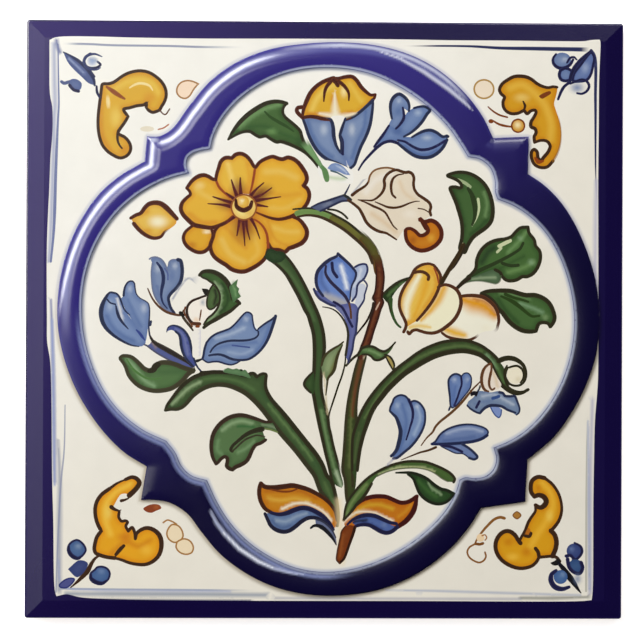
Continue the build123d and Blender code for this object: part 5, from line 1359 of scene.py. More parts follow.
grid_wide = grid_wide[inside(grid_wide, on_tile)]
grid_wide = spaced(grid_wide, base, 3.3)
base = np.vstack([base, grid_wide])
res = delaunay_2d_cdt([Vector((float(x), float(y))) for x, y in base], edges, [], 1, 0.02, False)
flat = np.array([tuple(v) for v in res[0]])
tris = np.array([f for f in res[2]], int)
# all the same way round, and nothing without area
a, b, c = flat[tris[:, 0]], flat[tris[:, 1]], flat[tris[:, 2]]
area = (b[:, 0] - a[:, 0]) * (c[:, 1] - a[:, 1]) - (b[:, 1] - a[:, 1]) * (c[:, 0] - a[:, 0])
tris = np.where((area > 0)[:, None], tris[:, ::-1], tris)  # y runs down in px, so this faces up in mm
tris = tris[np.abs(area) > 1e-7]
used = np.unique(tris)
remap = np.full(len(flat), -1)
remap[used] = np.arange(len(used))
flat, tris = flat[used], remap[tris]
centre = flat[tris].mean(1)
print("face:", len(flat), "points", len(tris), "triangles")

# ---- painting -------------------------------------------------------------------------------------
corner_xy = flat[tris]  # (T, 3, 2)
paint = np.empty((len(tris), 3, 3))
IVORY, RIM, RING = rgb("f1ecdd"), rgb("160a4a"), rgb("160a4c")
on_panel = inside(centre, PANEL_Q)
on_ring = inside(centre, OUT_Q) & ~inside(centre, IN_Q)
paint[:] = IVORY
paint[~on_panel] = RIM
lo, hi = corner_xy.min(1), corner_xy.max(1)


def ramp_up0(x, a, b):
    t = np.clip((x - a) / (b - a), 0, 1)
    return t * t * (3 - 2 * t)


def near(x0, y0, x1, y1):
    return np.where((hi[:, 0] >= x0) & (lo[:, 0] <= x1) & (hi[:, 1] >= y0) & (lo[:, 1] <= y1))[0]


def soft(t):
    t = np.clip(t, 0, 1)
    return t * t * (3 - 2 * t)


def blend(k, colour, alpha):
    """Mix a colour into the corners of triangles k. colour (3,) or (n,3,3), alpha (n,3)."""
    paint[k] = paint[k] * (1 - alpha[..., None]) + np.asarray(colour) * alpha[..., None]


def lay(op):
    if op["kind"] == "fill":
        p = op["poly"]
        k = near(p[:, 0].min(), p[:, 1].min(), p[:, 0].max(), p[:, 1].max())
        k = k[inside(centre[k], p)]
        op["on"] = k
        paint[k] = op["col"]
        red, green, blue = op["col"]
        size = abs(np.sum(p[:, 0] * np.roll(p[:, 1], -1) - p[:, 1] * np.roll(p[:, 0], -1))) / 2
        if size > 120 and len(k) and min(op["col"]) < 0.35:  # the colour gathers towards the outline
            if blue > red and blue > green:
                tint = (0.55, 0.62, 0.78)
            elif green > red:
                tint = (0.42, 0.48, 0.45)
            else:
                tint = (0.86, 0.58, 0.30)
            d = nearest(corner_xy[k].reshape(-1, 2), p, np.roll(p, -1, 0))[0].reshape(-1, 3)
            blend(k, op["col"] * np.array(tint), 0.75 * soft(1 - d / min(7.0, 0.45 * math.sqrt(size))))
        return
    if op["kind"] == "blob":
        reach = max(op["rx"], op["ry"])
        x, y = op["at"]
        k = op["clip"]["on"] if op["clip"] is not None else near(x - reach, y - reach, x + reach, y + reach)
        if len(k) == 0:
            return
        d = corner_xy[k] - op["at"]
        t = np.hypot((d @ op["u"]) / op["rx"], (d @ op["v"]) / op["ry"])
        blend(k, op["col"], op["alpha"] * soft(1 - t))
        return
    c, r = op["c"], op["r"]
    m = r.max()
    x0, y0 = c.min(0) - m
    x1, y1 = c.max(0) + m
    if op["kind"] == "wash":
        k = near(x0, y0, x1, y1)
        if op["clip"] is not None:
            k = np.intersect1d(k, op["clip"]["on"])
        if len(k) == 0:
            return
        pts = corner_xy[k].reshape(-1, 2)
        d, seg, t = nearest(pts, c[:-1], c[1:], r[:-1], r[1:])
        rad = r[seg] + (r[seg + 1] - r[seg]) * t
        blend(k, op["col"], (op["alpha"] * soft(1 - d / rad)).reshape(-1, 3))
        return
    k = near(x0, y0, x1, y1)
    if len(k) == 0:
        return
    d, seg, t = nearest(centre[k], c[:-1], c[1:], r[:-1], r[1:])
    hit = d < r[seg] + (r[seg + 1] - r[seg]) * t
    k = k[hit]
    if len(k) == 0:
        return
    pts = corner_xy[k].reshape(-1, 2)
    d, seg, t = nearest(pts, c[:-1], c[1:], r[:-1], r[1:])
    rad = r[seg] + (r[seg + 1] - r[seg]) * t
    mix = soft((d / rad - 0.35) / 0.65)[:, None]
    col = (op["core"] * (1 - mix) + op["edge"] * mix).reshape(-1, 3, 3)
    s = op["s"][seg] + (op["s"][seg + 1] - op["s"][seg]) * t
    alpha = np.full(len(pts), float(op["alpha"]))
    f0, f1 = op["fade"]
    if f0:
        alpha *= soft(s / f0)
    if f1:
        alpha *= soft((1 - s) / f1)
    blend(k, col, alpha.reshape(-1, 3))


# the ground is painted whitest at the top left, as painted light falling from there; beside the moulding's inner foot
# and upper outer foot the glaze turns pale blue, and beside its lower outer foot a beige band is painted shadow
d_out = nearest(flat, OUT_Q, np.roll(OUT_Q, -1, 0))[0][tris]
d_in = nearest(flat, IN_Q, np.roll(IN_Q, -1, 0))[0][tris]
painted_light_lean = ramp_up0(corner_xy[..., 0] * 0.6 + corner_xy[..., 1] * 0.8, 150, 560)[..., None]
ground = on_panel & ~on_ring
paint[ground] = (rgb("f6f3e9") * (1 - painted_light_lean) + rgb("efe9da") * painted_light_lean)[ground]
within = ground & inside(centre, IN_Q)
blend(np.where(within)[0], rgb("a3abc4"), 0.85 * soft(1 - d_in[within] / 4.2))
high = ramp_up0(corner_xy[..., 1], 380, 260)
around = ground & ~within
blend(np.where(around)[0], rgb("a6a8c4"), (0.65 * high * soft(1 - d_out / 4.0))[around])
# painted shadow: a beige band on the ground beside the moulding's lower outer foot
blend(np.where(around)[0], rgb("a99a80"), (0.75 * (1 - high) * soft(1 - d_out / 5.0))[around])
for op in OPS:
    lay(op)
# the moulding's cobalt lies over whatever reaches it; it is painted lighter and greyer towards the top left as painted
# sheen, and darker towards the bottom right as painted shade
painted_light_lean = ramp_up0(corner_xy[..., 0] * 0.55 + corner_xy[..., 1] * 0.85, 230, 560)[..., None]
paint[on_ring] = (rgb("342b7c") * (1 - painted_light_lean) + rgb("08032e") * painted_light_lean)[on_ring]
shade = painted_light_lean[..., 0]


def heading(q):
    """Which way the nearest point of the outline q lies, in degrees, anticlockwise from the right, per corner."""
    dist, seg, t = nearest(flat, q, np.roll(q, -1, 0))
    foot = q[seg] + (np.roll(q, -1, 0)[seg] - q[seg]) * t[:, None]
    return (np.degrees(np.arctan2(flat[:, 1] - foot[:, 1], foot[:, 0] - flat[:, 0])))[tris]


def on_moulding(colour, alpha):
    blend(np.where(on_ring)[0], rgb(colour), np.clip(alpha, 0, 1)[on_ring])


go, gi = heading(OUT_Q) % 360, heading(IN_Q)
X, Y = corner_xy[..., 0], corner_xy[..., 1]
left_o = ramp_up0(go, 88, 110) * (1 - ramp_up0(go, 190, 215)) * ramp_up0(Y, 345, 285)
right_o = ramp_up0(go, 36, 50) * (1 - ramp_up0(go, 88, 104)) * ramp_up0(X, 500, 470)
left_i = ramp_up0(gi, -14, 12) * (1 - ramp_up0(gi, 88, 108)) * ramp_up0(Y, 300, 350) * ramp_up0(X, 380, 320)
# painted sheen near the outer foot at the top left, and painted highlight bands on the outer flanks at the left and
# upper right and on the inner flank at the lower left
on_moulding("4a4a9c", (1 - shade) * 0.5 * soft(1 - d_out / 3.5))
on_moulding("9ea2cc", left_o * 0.62 * soft(1 - abs(d_out - 7.5) / 6.5))
on_moulding("c6cae0", right_o * 0.9 * soft(1 - abs(d_out - 3.4) / 3.4))
on_moulding("6d70b0", right_o * 0.5 * soft(1 - abs(d_out - 8) / 5))
on_moulding("8f9bcb", left_i * 0.7 * soft(1 - abs(d_in - 4.6) / 3.4))
# a pale line along the moulding's inner edge, partly the glaze running thin there and partly painted highlight,
# stronger towards the top left
on_moulding("c2cae4", (0.95 - 0.35 * shade) * soft(1 - abs(d_in - 1.3) / 1.5))
on_moulding("4d5790", (0.75 - 0.35 * shade) * soft(1 - d_in / 0.8))
# painted highlight streaks: the lower left inner flank and the upper right outer flank
for path, wide, tone, strength in (
    ([(210, 510), (216, 522), (224, 532.5), (239, 548), (258, 560.5), (273, 567.3), (288, 571.5), (304, 574)], [1.4, 3.0, 3.6, 3.8, 3.6, 3.0, 2.2, 1.0], "c6cdea", 0.8),
    ([(222, 531), (239, 548), (258, 560.5), (273, 567.3)], [0.8, 1.8, 1.8, 0.8], "f4f6fc", 0.9),
    ([(377, 51.5), (400, 59.5), (423.6, 72.5), (448.5, 90), (464, 103), (472, 111)], [0.8, 2.0, 3.4, 3.4, 2.6, 0.8], "e2e4f2", 0.8),
):
    lay(dict(kind="wash", c=np.array(path, float), r=np.array(wide), col=rgb(tone), alpha=strength, clip=None))
# the rim's cobalt is painted lighter at the left and top as painted reflection, and darker towards the right and bottom
rim_at = corner_xy[~on_panel].reshape(-1, 2)
painted_light_lean = ramp_up0((rim_at[:, 0] * 0.90 + rim_at[:, 1] * 0.45), 60, 420)[:, None]
paint[~on_panel] = (rgb("2b1c5e") * (1 - painted_light_lean) + rgb("10053c") * painted_light_lean).reshape(-1, 3, 3)
mm = to_mm(flat)
xy_m = to_mm(flat)


def mm_chain(q):
    return to_mm(q)


OUT_MM, IN_MM = to_mm(OUT_Q), to_mm(IN_Q)


T_BROAD = np.array([(0, 1.6), (0.12, 1.2), (0.22, 0.7), (0.28, 0.47), (0.84, 0.28), (0.95, 0.1), (1, 0)])
T_STEEP = np.array([(0, 2.4), (0.12, 1.9), (0.24, 1.0), (0.34, 0.14), (0.6, 0.08), (1, 0)])
T_FINE = np.linspace(0, 1, 201)


def profile(table):
    """Slope and height of half a moulding, as shares of its half width and its height."""
    s = np.interp(T_FINE, table[:, 0], table[:, 1])
    h = np.r_[0, np.cumsum((s[1:] + s[:-1]) / 2 * np.diff(T_FINE))]
    return s / h[-1], h / h[-1]


BROAD, STEEP = profile(T_BROAD), profile(T_STEEP)
# how steep the glaze looks from foot to crest: the soft flanks, the upper right one, the others
GLAZE_SOFT = np.array([(0, 0.95), (0.14, 0.68), (0.3, 0.50), (0.52, 0.33), (0.8, 0.16), (1, 0)])
GLAZE_EDGE = np.array([(0, 0.28), (0.3, 0.24), (0.6, 0.12), (1, 0)])
GLAZE_FLAT = np.array([(0, 0.20), (0.5, 0.10), (1, 0)])


def ramp_up(x, a, b):
    t = np.clip((x - a) / (b - a), 0, 1)
    return t * t * (3 - 2 * t)


def bead(points):
    """Height of the moulding above the face at points in mm, and its slope as a vector. Its flanks that face up and left are the fuller ones."""
    do, so, to_ = nearest(points, OUT_MM, np.roll(OUT_MM, -1, 0))
    di, si, ti = nearest(points, IN_MM, np.roll(IN_MM, -1, 0))
    foot_o = OUT_MM[so] + (np.roll(OUT_MM, -1, 0)[so] - OUT_MM[so]) * to_[:, None]
    foot_i = IN_MM[si] + (np.roll(IN_MM, -1, 0)[si] - IN_MM[si]) * ti[:, None]

    def facing(foot):
        down = foot - points
        return np.degrees(np.arctan2(down[:, 1], down[:, 0])) % 360

    az_o, az_i = facing(foot_o), facing(foot_i)
    full_o = ramp_up(az_o, 40, 60) * (1 - ramp_up(az_o, 185, 205))
    full_i = ramp_up(az_i, 20, 38) * (1 - ramp_up(az_i, 84, 100))
    share = 0.5 + 0.12 * full_o - 0.10 * full_i  # where across the moulding its crest runs
    whole = np.clip(do + di, 4.4, 6.8)
    half_o, half_i = whole * share, whole * (1 - share)
    outer = do / half_o < di / half_i
    half = np.where(outer, half_o, half_i)
    d = np.where(outer, do, di)
    foot = np.where(outer[:, None], foot_o, foot_i)
    full = np.where(outer, full_o, full_i)
    away = points - foot
    length = np.hypot(*away.T)
    away = np.where(length[:, None] > 1e-6, away / np.maximum(length, 1e-9)[:, None], 0.0)
    t = np.clip(d / half, 0, 1)
    h = BEAD * (full * np.interp(t, T_FINE, BROAD[1]) + (1 - full) * np.interp(t, T_FINE, STEEP[1]))
    soft_o = ramp_up(az_o, 84, 100) * (1 - ramp_up(az_o, 185, 205)) * ramp_up(points[:, 1], -8, 14)
    edge_o = ramp_up(az_o, 38, 52) * (1 - ramp_up(az_o, 84, 100)) * (1 - ramp_up(points[:, 0], 33, 40))
    soft_ = np.where(outer, soft_o, 0.0)
    edge_ = np.where(outer, edge_o, full_i)
    slope = sum(w * np.interp(t, g[:, 0], g[:, 1]) for w, g in ((soft_, GLAZE_SOFT), (edge_, GLAZE_EDGE), (1 - soft_ - edge_, GLAZE_FLAT)))
    slope = np.where(t < 1, slope, 0.0)
    return h, away * slope[:, None], do, di


def rim_fall(points):
    """How far the rim lies below the panel at points in mm, and its slope."""
    e = np.maximum(np.abs(points[:, 0]), np.abs(points[:, 1]))
    d = np.clip((e - (SIDE / 2 - RIM_WIDTH)) / (RIM_WIDTH - ARRIS), 0, 1)
    along_x = ramp_up(np.abs(points[:, 0]) - np.abs(points[:, 1]), -0.35, 0.35)
    out = np.c_[np.sign(points[:, 0]) * along_x, np.sign(points[:, 1]) * (1 - along_x)]
    return RIM_DROP * d, out * (-RIM_DROP / (RIM_WIDTH - ARRIS))


point_ring = inside(flat, OUT_Q) & ~inside(flat, IN_Q)
d_o = nearest(xy_m, OUT_MM, np.roll(OUT_MM, -1, 0))[0]
d_i = nearest(xy_m, IN_MM, np.roll(IN_MM, -1, 0))[0]
point_ring &= (d_o > 0.02) & (d_i > 0.02)
height = np.full(len(flat), BODY)
h, _, _, _ = bead(xy_m)
height[point_ring] += h[point_ring]
fall, rim_slope = rim_fall(xy_m)
height -= fall

# corner normals: the moulding's own on its triangles, the rim's beyond the crease, else straight up
tri_pts = xy_m[tris].reshape(-1, 2)
corner_ring = np.repeat(on_ring, 3)
slope = np.zeros((len(tri_pts), 2))
slope[corner_ring] = bead(tri_pts[corner_ring])[1]
mid = xy_m[tris].mean(1)
in_rim = np.abs(mid).max(1) > SIDE / 2 - RIM_WIDTH
slope[np.repeat(in_rim, 3)] = np.repeat(rim_fall(mid[in_rim])[1], 3, axis=0)
face_normals = np.c_[-slope, np.ones(len(slope))]
face_normals /= np.linalg.norm(face_normals, axis=1)[:, None]

# ---- from the face's edge down the sides and round to the back --------------------------------------
pair = np.vstack([tris[:, [0, 1]], tris[:, [1, 2]], tris[:, [2, 0]]])
known = {(int(a), int(b)) for a, b in pair}
follow = {a: b for a, b in known if (b, a) not in known}
start = min(follow)
loop = [start]
while follow[loop[-1]] != start:
    loop.append(follow[loop[-1]])
loop = np.array(loop)
assert len(loop) == len(follow), "the face has more than one edge"
rim_xy = xy_m[loop]
n_loop = len(loop)
half_in, rad_in = SIDE / 2 - ARRIS, 0.2


def outward(p):
    """The direction out of the rounded square at points on its outline."""
    q = np.abs(p) - (half_in - rad_in)
    q = np.maximum(q, 0)
    q = np.where((q.sum(1) == 0)[:, None], np.abs(p) / np.abs(p).max(1)[:, None] ** 1, q)
    q = q * np.sign(p)
    return q / np.maximum(np.hypot(*q.T), 1e-9)[:, None]


out_dir = outward(rim_xy)
turn = np.arctan2(rim_xy[:, 1], rim_xy[:, 0])
arc = np.r_[0, np.cumsum(np.hypot(*np.diff(np.vstack([rim_xy, rim_xy[:1]]), axis=0).T))]
total = arc[-1]
arc = arc[:-1]
s = arc / total * 2 * math.pi
wave = 2.2 + 0.55 * np.sin(3 * s + 0.4) + 0.32 * np.sin(11 * s + 1.3) + 0.2 * np.sin(23 * s + 2.1) + 0.12 * np.sin(41 * s)
edge_z = BODY - RIM_DROP
rows = []  # (outward offset, height, glaze)
one = np.ones(n_loop)
for q in (1, 2, 3, 4):
    b = q * math.pi / 8
    rows.append((one * ARRIS * math.sin(b), one * (edge_z - ARRIS * (1 - math.cos(b))), one))
rows.append((one * ARRIS, one * 5.0, one))
rows.append((one * ARRIS, wave + 0.7, one))
rows.append((one * (ARRIS + 0.05), wave + 0.22, one))
rows.append((one * (ARRIS + 0.03), wave + 0.06, one))
rows.append((one * (ARRIS - 0.02), wave - 0.06, one * 0))
rows.append((one * (ARRIS - 0.02), wave * 0.45 + 0.1, one * 0))
rows.append((one * (ARRIS - 0.02), one * FOOT, one * 0))
rows.append((one * (ARRIS - FOOT), one * 0.0, one * 0))
points = [np.c_[xy_m, height]]
glaze = [np.ones(len(xy_m))]
ring_ids = [loop]
count = len(xy_m)
for off, z, g in rows:
    points.append(np.c_[rim_xy + out_dir * np.asarray(off)[:, None], z])
    glaze.append(g)
    ring_ids.append(np.arange(count, count + n_loop))
    count += n_loop
side_faces = []
side_uv = []
perimeter = np.r_[arc, total]
for r in range(len(ring_ids) - 1):
    up, down = ring_ids[r], ring_ids[r + 1]
    for i in range(n_loop):
        j = (i + 1) % n_loop
        side_faces.append((up[i], down[i], down[j], up[j]))
        side_uv.append((r, i))

# ---- the back: flat, with keyed grooves pressed into it ------------------------------------------
KEY_COUNT, KEY_WIDTH, KEY_PITCH, KEY_DEPTH, KEY_MARGIN = 6, 9.0, 21.0, 0.7, 13.0


def slot_outline(cx, w, length, radius, steps=5):
    hw, hl = w / 2, length / 2
    out = []
    for k, (sx, sy) in enumerate(((1, -1), (1, 1), (-1, 1), (-1, -1))):
        mx, my = cx + sx * (hw - radius), sy * (hl - radius)
        for i in range(steps + 1):
            b = (k - 1) * math.pi / 2 + (math.pi / 2) * i / steps
            out.append((mx + radius * math.cos(b), my + radius * math.sin(b)))
    q = np.array(out)
    # no stretch of the straight sides over 6 mm
    full = []
    for a_, b_ in zip(q, np.roll(q, -1, 0)):
        m = max(1, int(np.hypot(*(b_ - a_)) / 6))
        full += [a_ + (b_ - a_) * i / m for i in range(m)]
    return np.array(full)


back_xy = points[-1][:, :2]
slots = [slot_outline((k - (KEY_COUNT - 1) / 2) * KEY_PITCH, KEY_WIDTH, SIDE - 2 * KEY_MARGIN, 2.5) for k in range(KEY_COUNT)]
bv, be = list(map(tuple, back_xy)), [(i, (i + 1) % n_loop) for i in range(n_loop)]
for q in slots:
    b0 = len(bv)
    bv += list(map(tuple, q))
    be += [(b0 + i, b0 + (i + 1) % len(q)) for i in range(len(q))]
cuts = [-37.5, 0.0, 37.5]
land = hexes(6.0, (-71, -71, 71, 71))
land = spaced(land, np.array(bv), 2.6)
bv += list(map(tuple, land))
rb = delaunay_2d_cdt([Vector((float(x), float(y))) for x, y in bv], be, [], 1, 1e-5, True)
bflat = np.array([tuple(v) for v in rb[0]])
btris = np.array(rb[2], int)
orig = [list(v) for v in rb[3]]
a, b, c = bflat[btris[:, 0]], bflat[btris[:, 1]], bflat[btris[:, 2]]
area = (b[:, 0] - a[:, 0]) * (c[:, 1] - a[:, 1]) - (b[:, 1] - a[:, 1]) * (c[:, 0] - a[:, 0])
btris = np.where((area > 0)[:, None], btris[:, ::-1], btris)  # facing down
bcentre = bflat[btris].mean(1)
in_slot = np.zeros(len(btris), bool)
for q in slots:
    in_slot |= inside(bcentre, q)
edge_of = {}
for new, olds in enumerate(orig):
    for o_ in olds:
        if o_ < n_loop:
            edge_of[new] = ring_ids[-1][o_]
back_id = np.empty(len(bflat), int)
extra = []
for i, p in enumerate(bflat):
    if i in edge_of:
        back_id[i] = edge_of[i]
    else:
        back_id[i] = count + len(extra)
        extra.append((p[0], p[1], 0.0))
points.append(np.array(extra))
glaze.append(np.zeros(len(extra)))
count += len(extra)
slot_id = {}
deep = []
for t in btris[in_slot]:
    for v in t:
        if v not in slot_id:
            slot_id[v] = count + len(deep)
            deep.append((bflat[v][0], bflat[v][1], KEY_DEPTH))
points.append(np.array(deep))
glaze.append(np.zeros(len(deep)))
count += len(deep)
back_faces = [tuple(back_id[v] for v in t) for t in btris[~in_slot]] + [tuple(slot_id[v] for v in t) for t in btris[in_slot]]
inner_pairs = {(int(t[i]), int(t[(i + 1) % 3])) for t in btris[in_slot] for i in range(3)}
wall_faces = [(slot_id[b], slot_id[a], back_id[a], back_id[b]) for a, b in inner_pairs if (b, a) not in inner_pairs]

# ---- one closed mesh ---------------------------------------------------------------------------------
P3 = np.vstack(points) / 1000.0
faces = [tuple(int(v) for v in t) for t in tris] + [tuple(int(v) for v in f) for f in side_faces] + [tuple(int(v) for v in f) for f in back_faces] + [tuple(int(v) for v in f) for f in wall_faces]
me = bpy.data.meshes.new("tile_glazed")
me.from_pydata([tuple(v) for v in P3], [], faces)
n_face, n_side, n_back, n_wall = len(tris), len(side_faces), len(back_faces), len(wall_faces)
loops_total = len(me.loops)
colours = np.ones((loops_total, 4), np.float32)
colours[:, :3] = RIM
colours[: 3 * n_face, :3] = paint.reshape(-1, 3)
layer = me.color_attributes.new("paint", "FLOAT_COLOR", "CORNER")
layer.data.foreach_set("color", colours.ravel())
me.color_attributes.active_color = layer
ga = me.attributes.new("glaze", "FLOAT", "POINT")
ga.data.foreach_set("value", np.concatenate(glaze).astype(np.float32))
# normals
loop_vert = np.empty(loops_total, np.int32)
me.loops.foreach_get("vertex_index", loop_vert)
normals = np.zeros((loops_total, 3))
normals[: 3 * n_face] = face_normals
row_normal = {0: rim_slope[loop]}
base_l = 3 * n_face
side_n = []
lean = [None, math.pi / 8, math.pi / 4, 3 * math.pi / 8, math.pi / 2] + [math.pi / 2] * (len(rows) - 4)
top_n = np.c_[-rim_slope[loop], np.ones(n_loop)]
top_n /= np.linalg.norm(top_n, axis=1)[:, None]
row_n = [top_n]
for r in range(1, len(rows) + 1):
    b = lean[r]
    row_n.append(np.c_[out_dir * math.sin(b), np.full(n_loop, math.cos(b))])
ridge = {6: 0.25, 7: 0.1, 8: -0.35}  # the glaze's thick lower lip
for r, k in ridge.items():
    row_n[r] = np.c_[out_dir, np.full(n_loop, -k if r > 6 else k)]
    row_n[r] /= np.linalg.norm(row_n[r], axis=1)[:, None]
last_r = len(ring_ids) - 2
foot_n = np.c_[out_dir, np.full(n_loop, -1.0)]
foot_n /= np.linalg.norm(foot_n, axis=1)[:, None]
for f, (r, i) in enumerate(side_uv):
    j = (i + 1) % n_loop
    if r == last_r:
        side_n += [foot_n[i], foot_n[i], foot_n[j], foot_n[j]]
    else:
        side_n += [row_n[r][i], row_n[r + 1][i], row_n[r + 1][j], row_n[r][j]]
normals[base_l : base_l + 4 * n_side] = np.array(side_n)
at = base_l + 4 * n_side
normals[at : at + 3 * n_back] = (0, 0, -1)
at += 3 * n_back
for a_, b_, c_, d_ in wall_faces:
    e = P3[b_] - P3[a_]
    n = np.cross(e, P3[d_] - P3[a_])
    n /= max(np.linalg.norm(n), 1e-12)
    normals[at : at + 4] = n
    at += 4
# where the parts lie on the map: the face in the lower left, sides along the top, back down the right
uv = np.zeros((loops_total, 2))
co = P3[loop_vert] * 1000.0
k = slice(0, 3 * n_face)
uv[k] = 0.012 + (co[k, :2] + 75.0) / 150.0 * 0.80
at = base_l
quarter = total / 4
zs = [0.0]
lengths = [0.0, 0.2, 0.2, 0.2, 0.2, 1.6, 2.0, 0.5, 0.2, 0.15, 1.0, 0.9, 0.42]
zs = np.cumsum(lengths)
first_corner = arc[np.argmin(np.abs(turn - (-math.pi / 4)))]
for f, (r, i) in enumerate(side_uv):
    a0, a1 = arc[i], perimeter[i + 1]
    mid = ((a0 + a1) / 2 - first_corner) % total
    strip = int(mid // quarter) % 4
    lo_ = (first_corner + strip * quarter) % total
    m0 = (a0 - lo_) % total
    m0 = m0 - total if m0 > total / 2 else m0
    m1 = m0 + (a1 - a0)
    u0, u1 = 0.012 + (m0 + 0.6) / (quarter + 1.2) * 0.97, 0.012 + (m1 + 0.6) / (quarter + 1.2) * 0.97
    v_top = 0.985 - strip * 0.042
    v0, v1 = v_top - zs[r] / zs[-1] * 0.034, v_top - zs[r + 1] / zs[-1] * 0.034
    uv[at : at + 4] = [(u0, v0), (u0, v1), (u1, v1), (u1, v0)]
    at += 4


def back_place(x, y, cx, strip):
    col, row = strip % 2, strip // 2
    lo_x = -75 + 37.5 * strip
    return 0.832 + col * 0.080 + (x - lo_x) / 37.5 * 0.066, 0.015 + row * 0.405 + (y + 75) / 150 * 0.385


for poly in back_faces + wall_faces:
    p = P3[list(poly)] * 1000.0
    strip = int(np.clip((p[:, 0].mean() + 75) // 37.5, 0, 3))
    for q in p:
        uv[at] = back_place(np.clip(q[0], -75 + 37.5 * strip - 3.5, -75 + 37.5 * (strip + 1) + 3.5), q[1], 0, strip)
        at += 1
uvl = me.uv_layers.new(name="OFBake")
uvl.uv.foreach_set("vector", uv.astype(np.float32).ravel())
me.polygons.foreach_set("use_smooth", np.ones(len(me.polygons), bool))
me.normals_split_custom_set([tuple(n) for n in normals])
me.update()
tile = bpy.data.objects.new("tile_glazed", me)
bpy.context.scene.collection.objects.link(tile)
print("tile:", len(me.vertices), "points", sum(len(p.vertices) - 2 for p in me.polygons), "triangles")

# =============================================================================================
# Finish
# =============================================================================================


def node(tree, kind, at=(0, 0), **values):
    n = tree.nodes.new(kind)
    n.location = at
    for name, value in values.items():
        n.inputs[name.replace("_", " ")].default_value = value
    return n


mat = bpy.data.materials.new("glazed_tile")
mat.use_nodes = True
nt = mat.node_tree
nt.nodes.clear()
out = node(nt, "ShaderNodeOutputMaterial", (900, 0))
att = node(nt, "ShaderNodeAttribute", (-900, 200))
att.attribute_name = "paint"
gla = node(nt, "ShaderNodeAttribute", (-900, -300))
gla.attribute_name = "glaze"
tex = node(nt, "ShaderNodeTexCoord", (-1300, 0))
cloud = node(nt, "ShaderNodeTexNoise", (-1000, 0), Scale=140.0, Detail=3.0, Roughness=0.55)
nt.links.new(tex.outputs["Object"], cloud.inputs["Vector"])
span = node(nt, "ShaderNodeMapRange", (-800, 0))
span.inputs["From Min"].default_value, span.inputs["From Max"].default_value = 0.3, 0.7
span.inputs["To Min"].default_value, span.inputs["To Max"].default_value = 0.98, 1.015
nt.links.new(cloud.outputs["Fac"], span.inputs["Value"])
tone = node(nt, "ShaderNodeMix", (-500, 150))
tone.data_type, tone.blend_type = "RGBA", "MULTIPLY"
tone.inputs[0].default_value = 1.0
nt.links.new(att.outputs["Color"], tone.inputs[6])
nt.links.new(span.outputs["Result"], tone.inputs[7])
glazed = node(nt, "ShaderNodeBsdfPrincipled", (0, 300), Roughness=0.2, IOR=1.75)
nt.links.new(tone.outputs[2], glazed.inputs["Base Color"])
peel = node(nt, "ShaderNodeTexNoise", (-700, -600), Scale=260.0, Detail=2.0, Roughness=0.5)
nt.links.new(tex.outputs["Object"], peel.inputs["Vector"])
bump = node(nt, "ShaderNodeBump", (-300, -500), Strength=0.05, Distance=0.0003)
nt.links.new(peel.outputs["Fac"], bump.inputs["Height"])
nt.links.new(bump.outputs["Normal"], glazed.inputs["Normal"])
clay = node(nt, "ShaderNodeBsdfPrincipled", (0, -300), Roughness=0.85, IOR=1.45)
grit = node(nt, "ShaderNodeTexNoise", (-700, -900), Scale=900.0, Detail=5.0, Roughness=0.65)
nt.links.new(tex.outputs["Object"], grit.inputs["Vector"])
ramp = nt.nodes.new("ShaderNodeValToRGB")
ramp.color_ramp.elements[0].position, ramp.color_ramp.elements[0].color = 0.3, (*rgb("b98e6c"), 1)
ramp.color_ramp.elements[1].position, ramp.color_ramp.elements[1].color = 0.7, (*rgb("d3ad8c"), 1)
nt.links.new(grit.outputs["Fac"], ramp.inputs["Fac"])
nt.links.new(ramp.outputs["Color"], clay.inputs["Base Color"])
rough_b = node(nt, "ShaderNodeBump", (-300, -900), Strength=0.35, Distance=0.0003)
nt.links.new(grit.outputs["Fac"], rough_b.inputs["Height"])
nt.links.new(rough_b.outputs["Normal"], clay.inputs["Normal"])
both = node(nt, "ShaderNodeMixShader", (500, 0))
nt.links.new(gla.outputs["Fac"], both.inputs["Fac"])
nt.links.new(clay.outputs["BSDF"], both.inputs[1])
nt.links.new(glazed.outputs["BSDF"], both.inputs[2])
nt.links.new(both.outputs["Shader"], out.inputs["Surface"])
me.materials.append(mat)
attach(tile, "root")
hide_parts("tile")

# ---- floor -----------------------------------------------------------------------------------
bpy.ops.mesh.primitive_plane_add(size=6.0, location=(0, 0, 0))
floor = bpy.context.object
floor.name = "floor"
fm = bpy.data.materials.new("floor_pale")
fm.use_nodes = True
fb = fm.node_tree.nodes["Principled BSDF"]
fb.inputs["Base Color"].default_value = (0.95, 0.95, 0.95, 1)
fb.inputs["Roughness"].default_value = 0.9
fb.inputs["Emission Color"].default_value = (1, 1, 1, 1)
fb.inputs["Emission Strength"].default_value = 0.8
floor.data.materials.append(fm)

# ---- camera: straight down, placed so that the tile's corners fall where they should --------------
WIDE, FAR = 36.0, 0.9
want = np.array([(27.3, 20.1), (623.9, 23.6), (621.2, 618.3), (23.6, 618.3)])
solid = np.array([(-75, 75, 6.6), (75, 75, 6.6), (75, -75, 6.6), (-75, -75, 6.6)]) / 1000.0


def turned(rx, ry, rz):
    return np.array(Matrix.Rotation(rz, 3, "Z") @ Matrix.Rotation(ry, 3, "Y") @ Matrix.Rotation(rx, 3, "X"))


def seen(v, p):
    x, y, rx, ry, rz, f = v
    q = (p - np.array([x, y, FAR])) @ turned(rx, ry, rz)
    return np.c_[322 + 644 * f / WIDE * q[:, 0] / -q[:, 2], 322 - 644 * f / WIDE * q[:, 1] / -q[:, 2]]


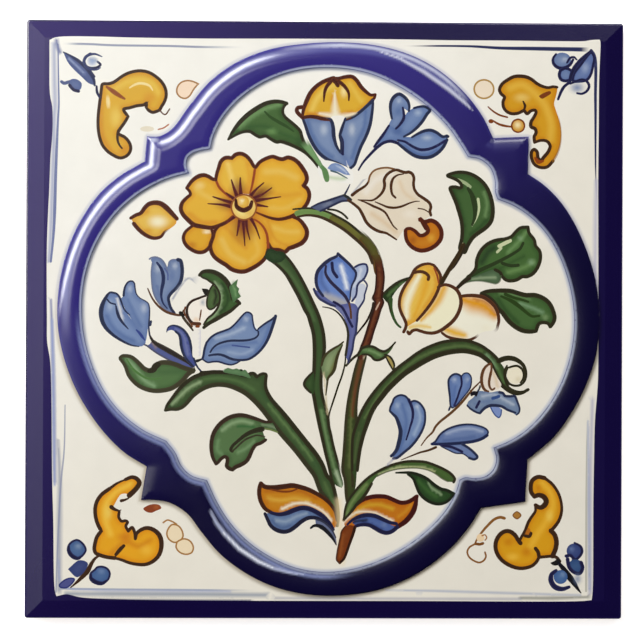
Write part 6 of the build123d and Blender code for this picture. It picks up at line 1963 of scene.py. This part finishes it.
v = np.array([0.0, 0.0, 0.0, 0.0, 0.0, 200.0])
for _ in range(30):
    base_r = (seen(v, solid) - want).ravel()
    jac = np.empty((8, 6))
    for q in range(6):
        step_ = np.zeros(6)
        step_[q] = 1e-5 if q < 5 else 1e-2
        jac[:, q] = ((seen(v + step_, solid) - want).ravel() - base_r) / step_[q]
    # x against tilt is nearly free at this distance: hold the tilt small
    reg = np.diag([1.0, 1.0, 3.0, 3.0, 0.0, 0.0])
    v = v + np.linalg.lstsq(np.vstack([jac, reg]), np.r_[-base_r, -reg @ (v * np.array([0, 0, 1, 1, 0, 0]))], rcond=None)[0]
print("camera:", [round(float(q), 5) for q in v], "miss", np.abs(seen(v, solid) - want).max())
cd = bpy.data.cameras.new("camera")
cd.sensor_width, cd.sensor_fit, cd.lens = WIDE, "HORIZONTAL", float(v[5])
cd.clip_start, cd.clip_end = 0.01, 20.0
cam = bpy.data.objects.new("camera", cd)
bpy.context.scene.collection.objects.link(cam)
cam.location = (float(v[0]), float(v[1]), FAR)
cam.rotation_euler = (float(v[2]), float(v[3]), float(v[4]))
bpy.context.scene.camera = cam

# ---- light --------------------------------------------------------------------------------------


def softbox(name, azimuth, off, distance, width, length, power, tint=(1, 1, 1)):
    """A rectangular lamp aimed at the tile: azimuth 0 is +X and 90 is +Y, off is degrees from straight up."""
    a, o = math.radians(azimuth), math.radians(off)
    d = Vector((math.cos(a) * math.sin(o), math.sin(a) * math.sin(o), math.cos(o)))
    ld = bpy.data.lights.new(name, "AREA")
    ld.shape, ld.size, ld.size_y, ld.energy, ld.color = "RECTANGLE", width, length, power, tint
    ob = bpy.data.objects.new(name, ld)
    bpy.context.scene.collection.objects.link(ob)
    ob.location = d * distance
    ob.rotation_euler = d.to_track_quat("Z", "Y").to_euler()
    return ob


world = bpy.data.worlds.new("studio")
world.use_nodes = True
bg = world.node_tree.nodes["Background"]
bg.inputs["Color"].default_value = (1.0, 0.99, 0.97, 1)
bg.inputs["Strength"].default_value = 0.018
bpy.context.scene.world = world
def watts(radiance, width, length):
    return radiance * math.pi * width * length


softbox("key", 140, 45, 1.3, 1.30, 0.34, watts(11.4, 1.30, 0.40))
softbox("key_soft", 140, 20, 1.3, 0.46, 0.34, watts(4.6, 0.46, 0.34))
softbox("left_glow", 190, 26, 1.3, 0.36, 0.26, watts(0.80, 0.36, 0.26))
softbox("top_glow", 112, 26, 1.3, 0.22, 0.24, watts(0.58, 0.22, 0.24))
softbox("top_right", 64, 47, 1.3, 0.70, 0.14, watts(9.0, 0.70, 0.18))
bpy.context.scene.view_settings.view_transform = "Standard"
bpy.context.scene.view_settings.look = "None"
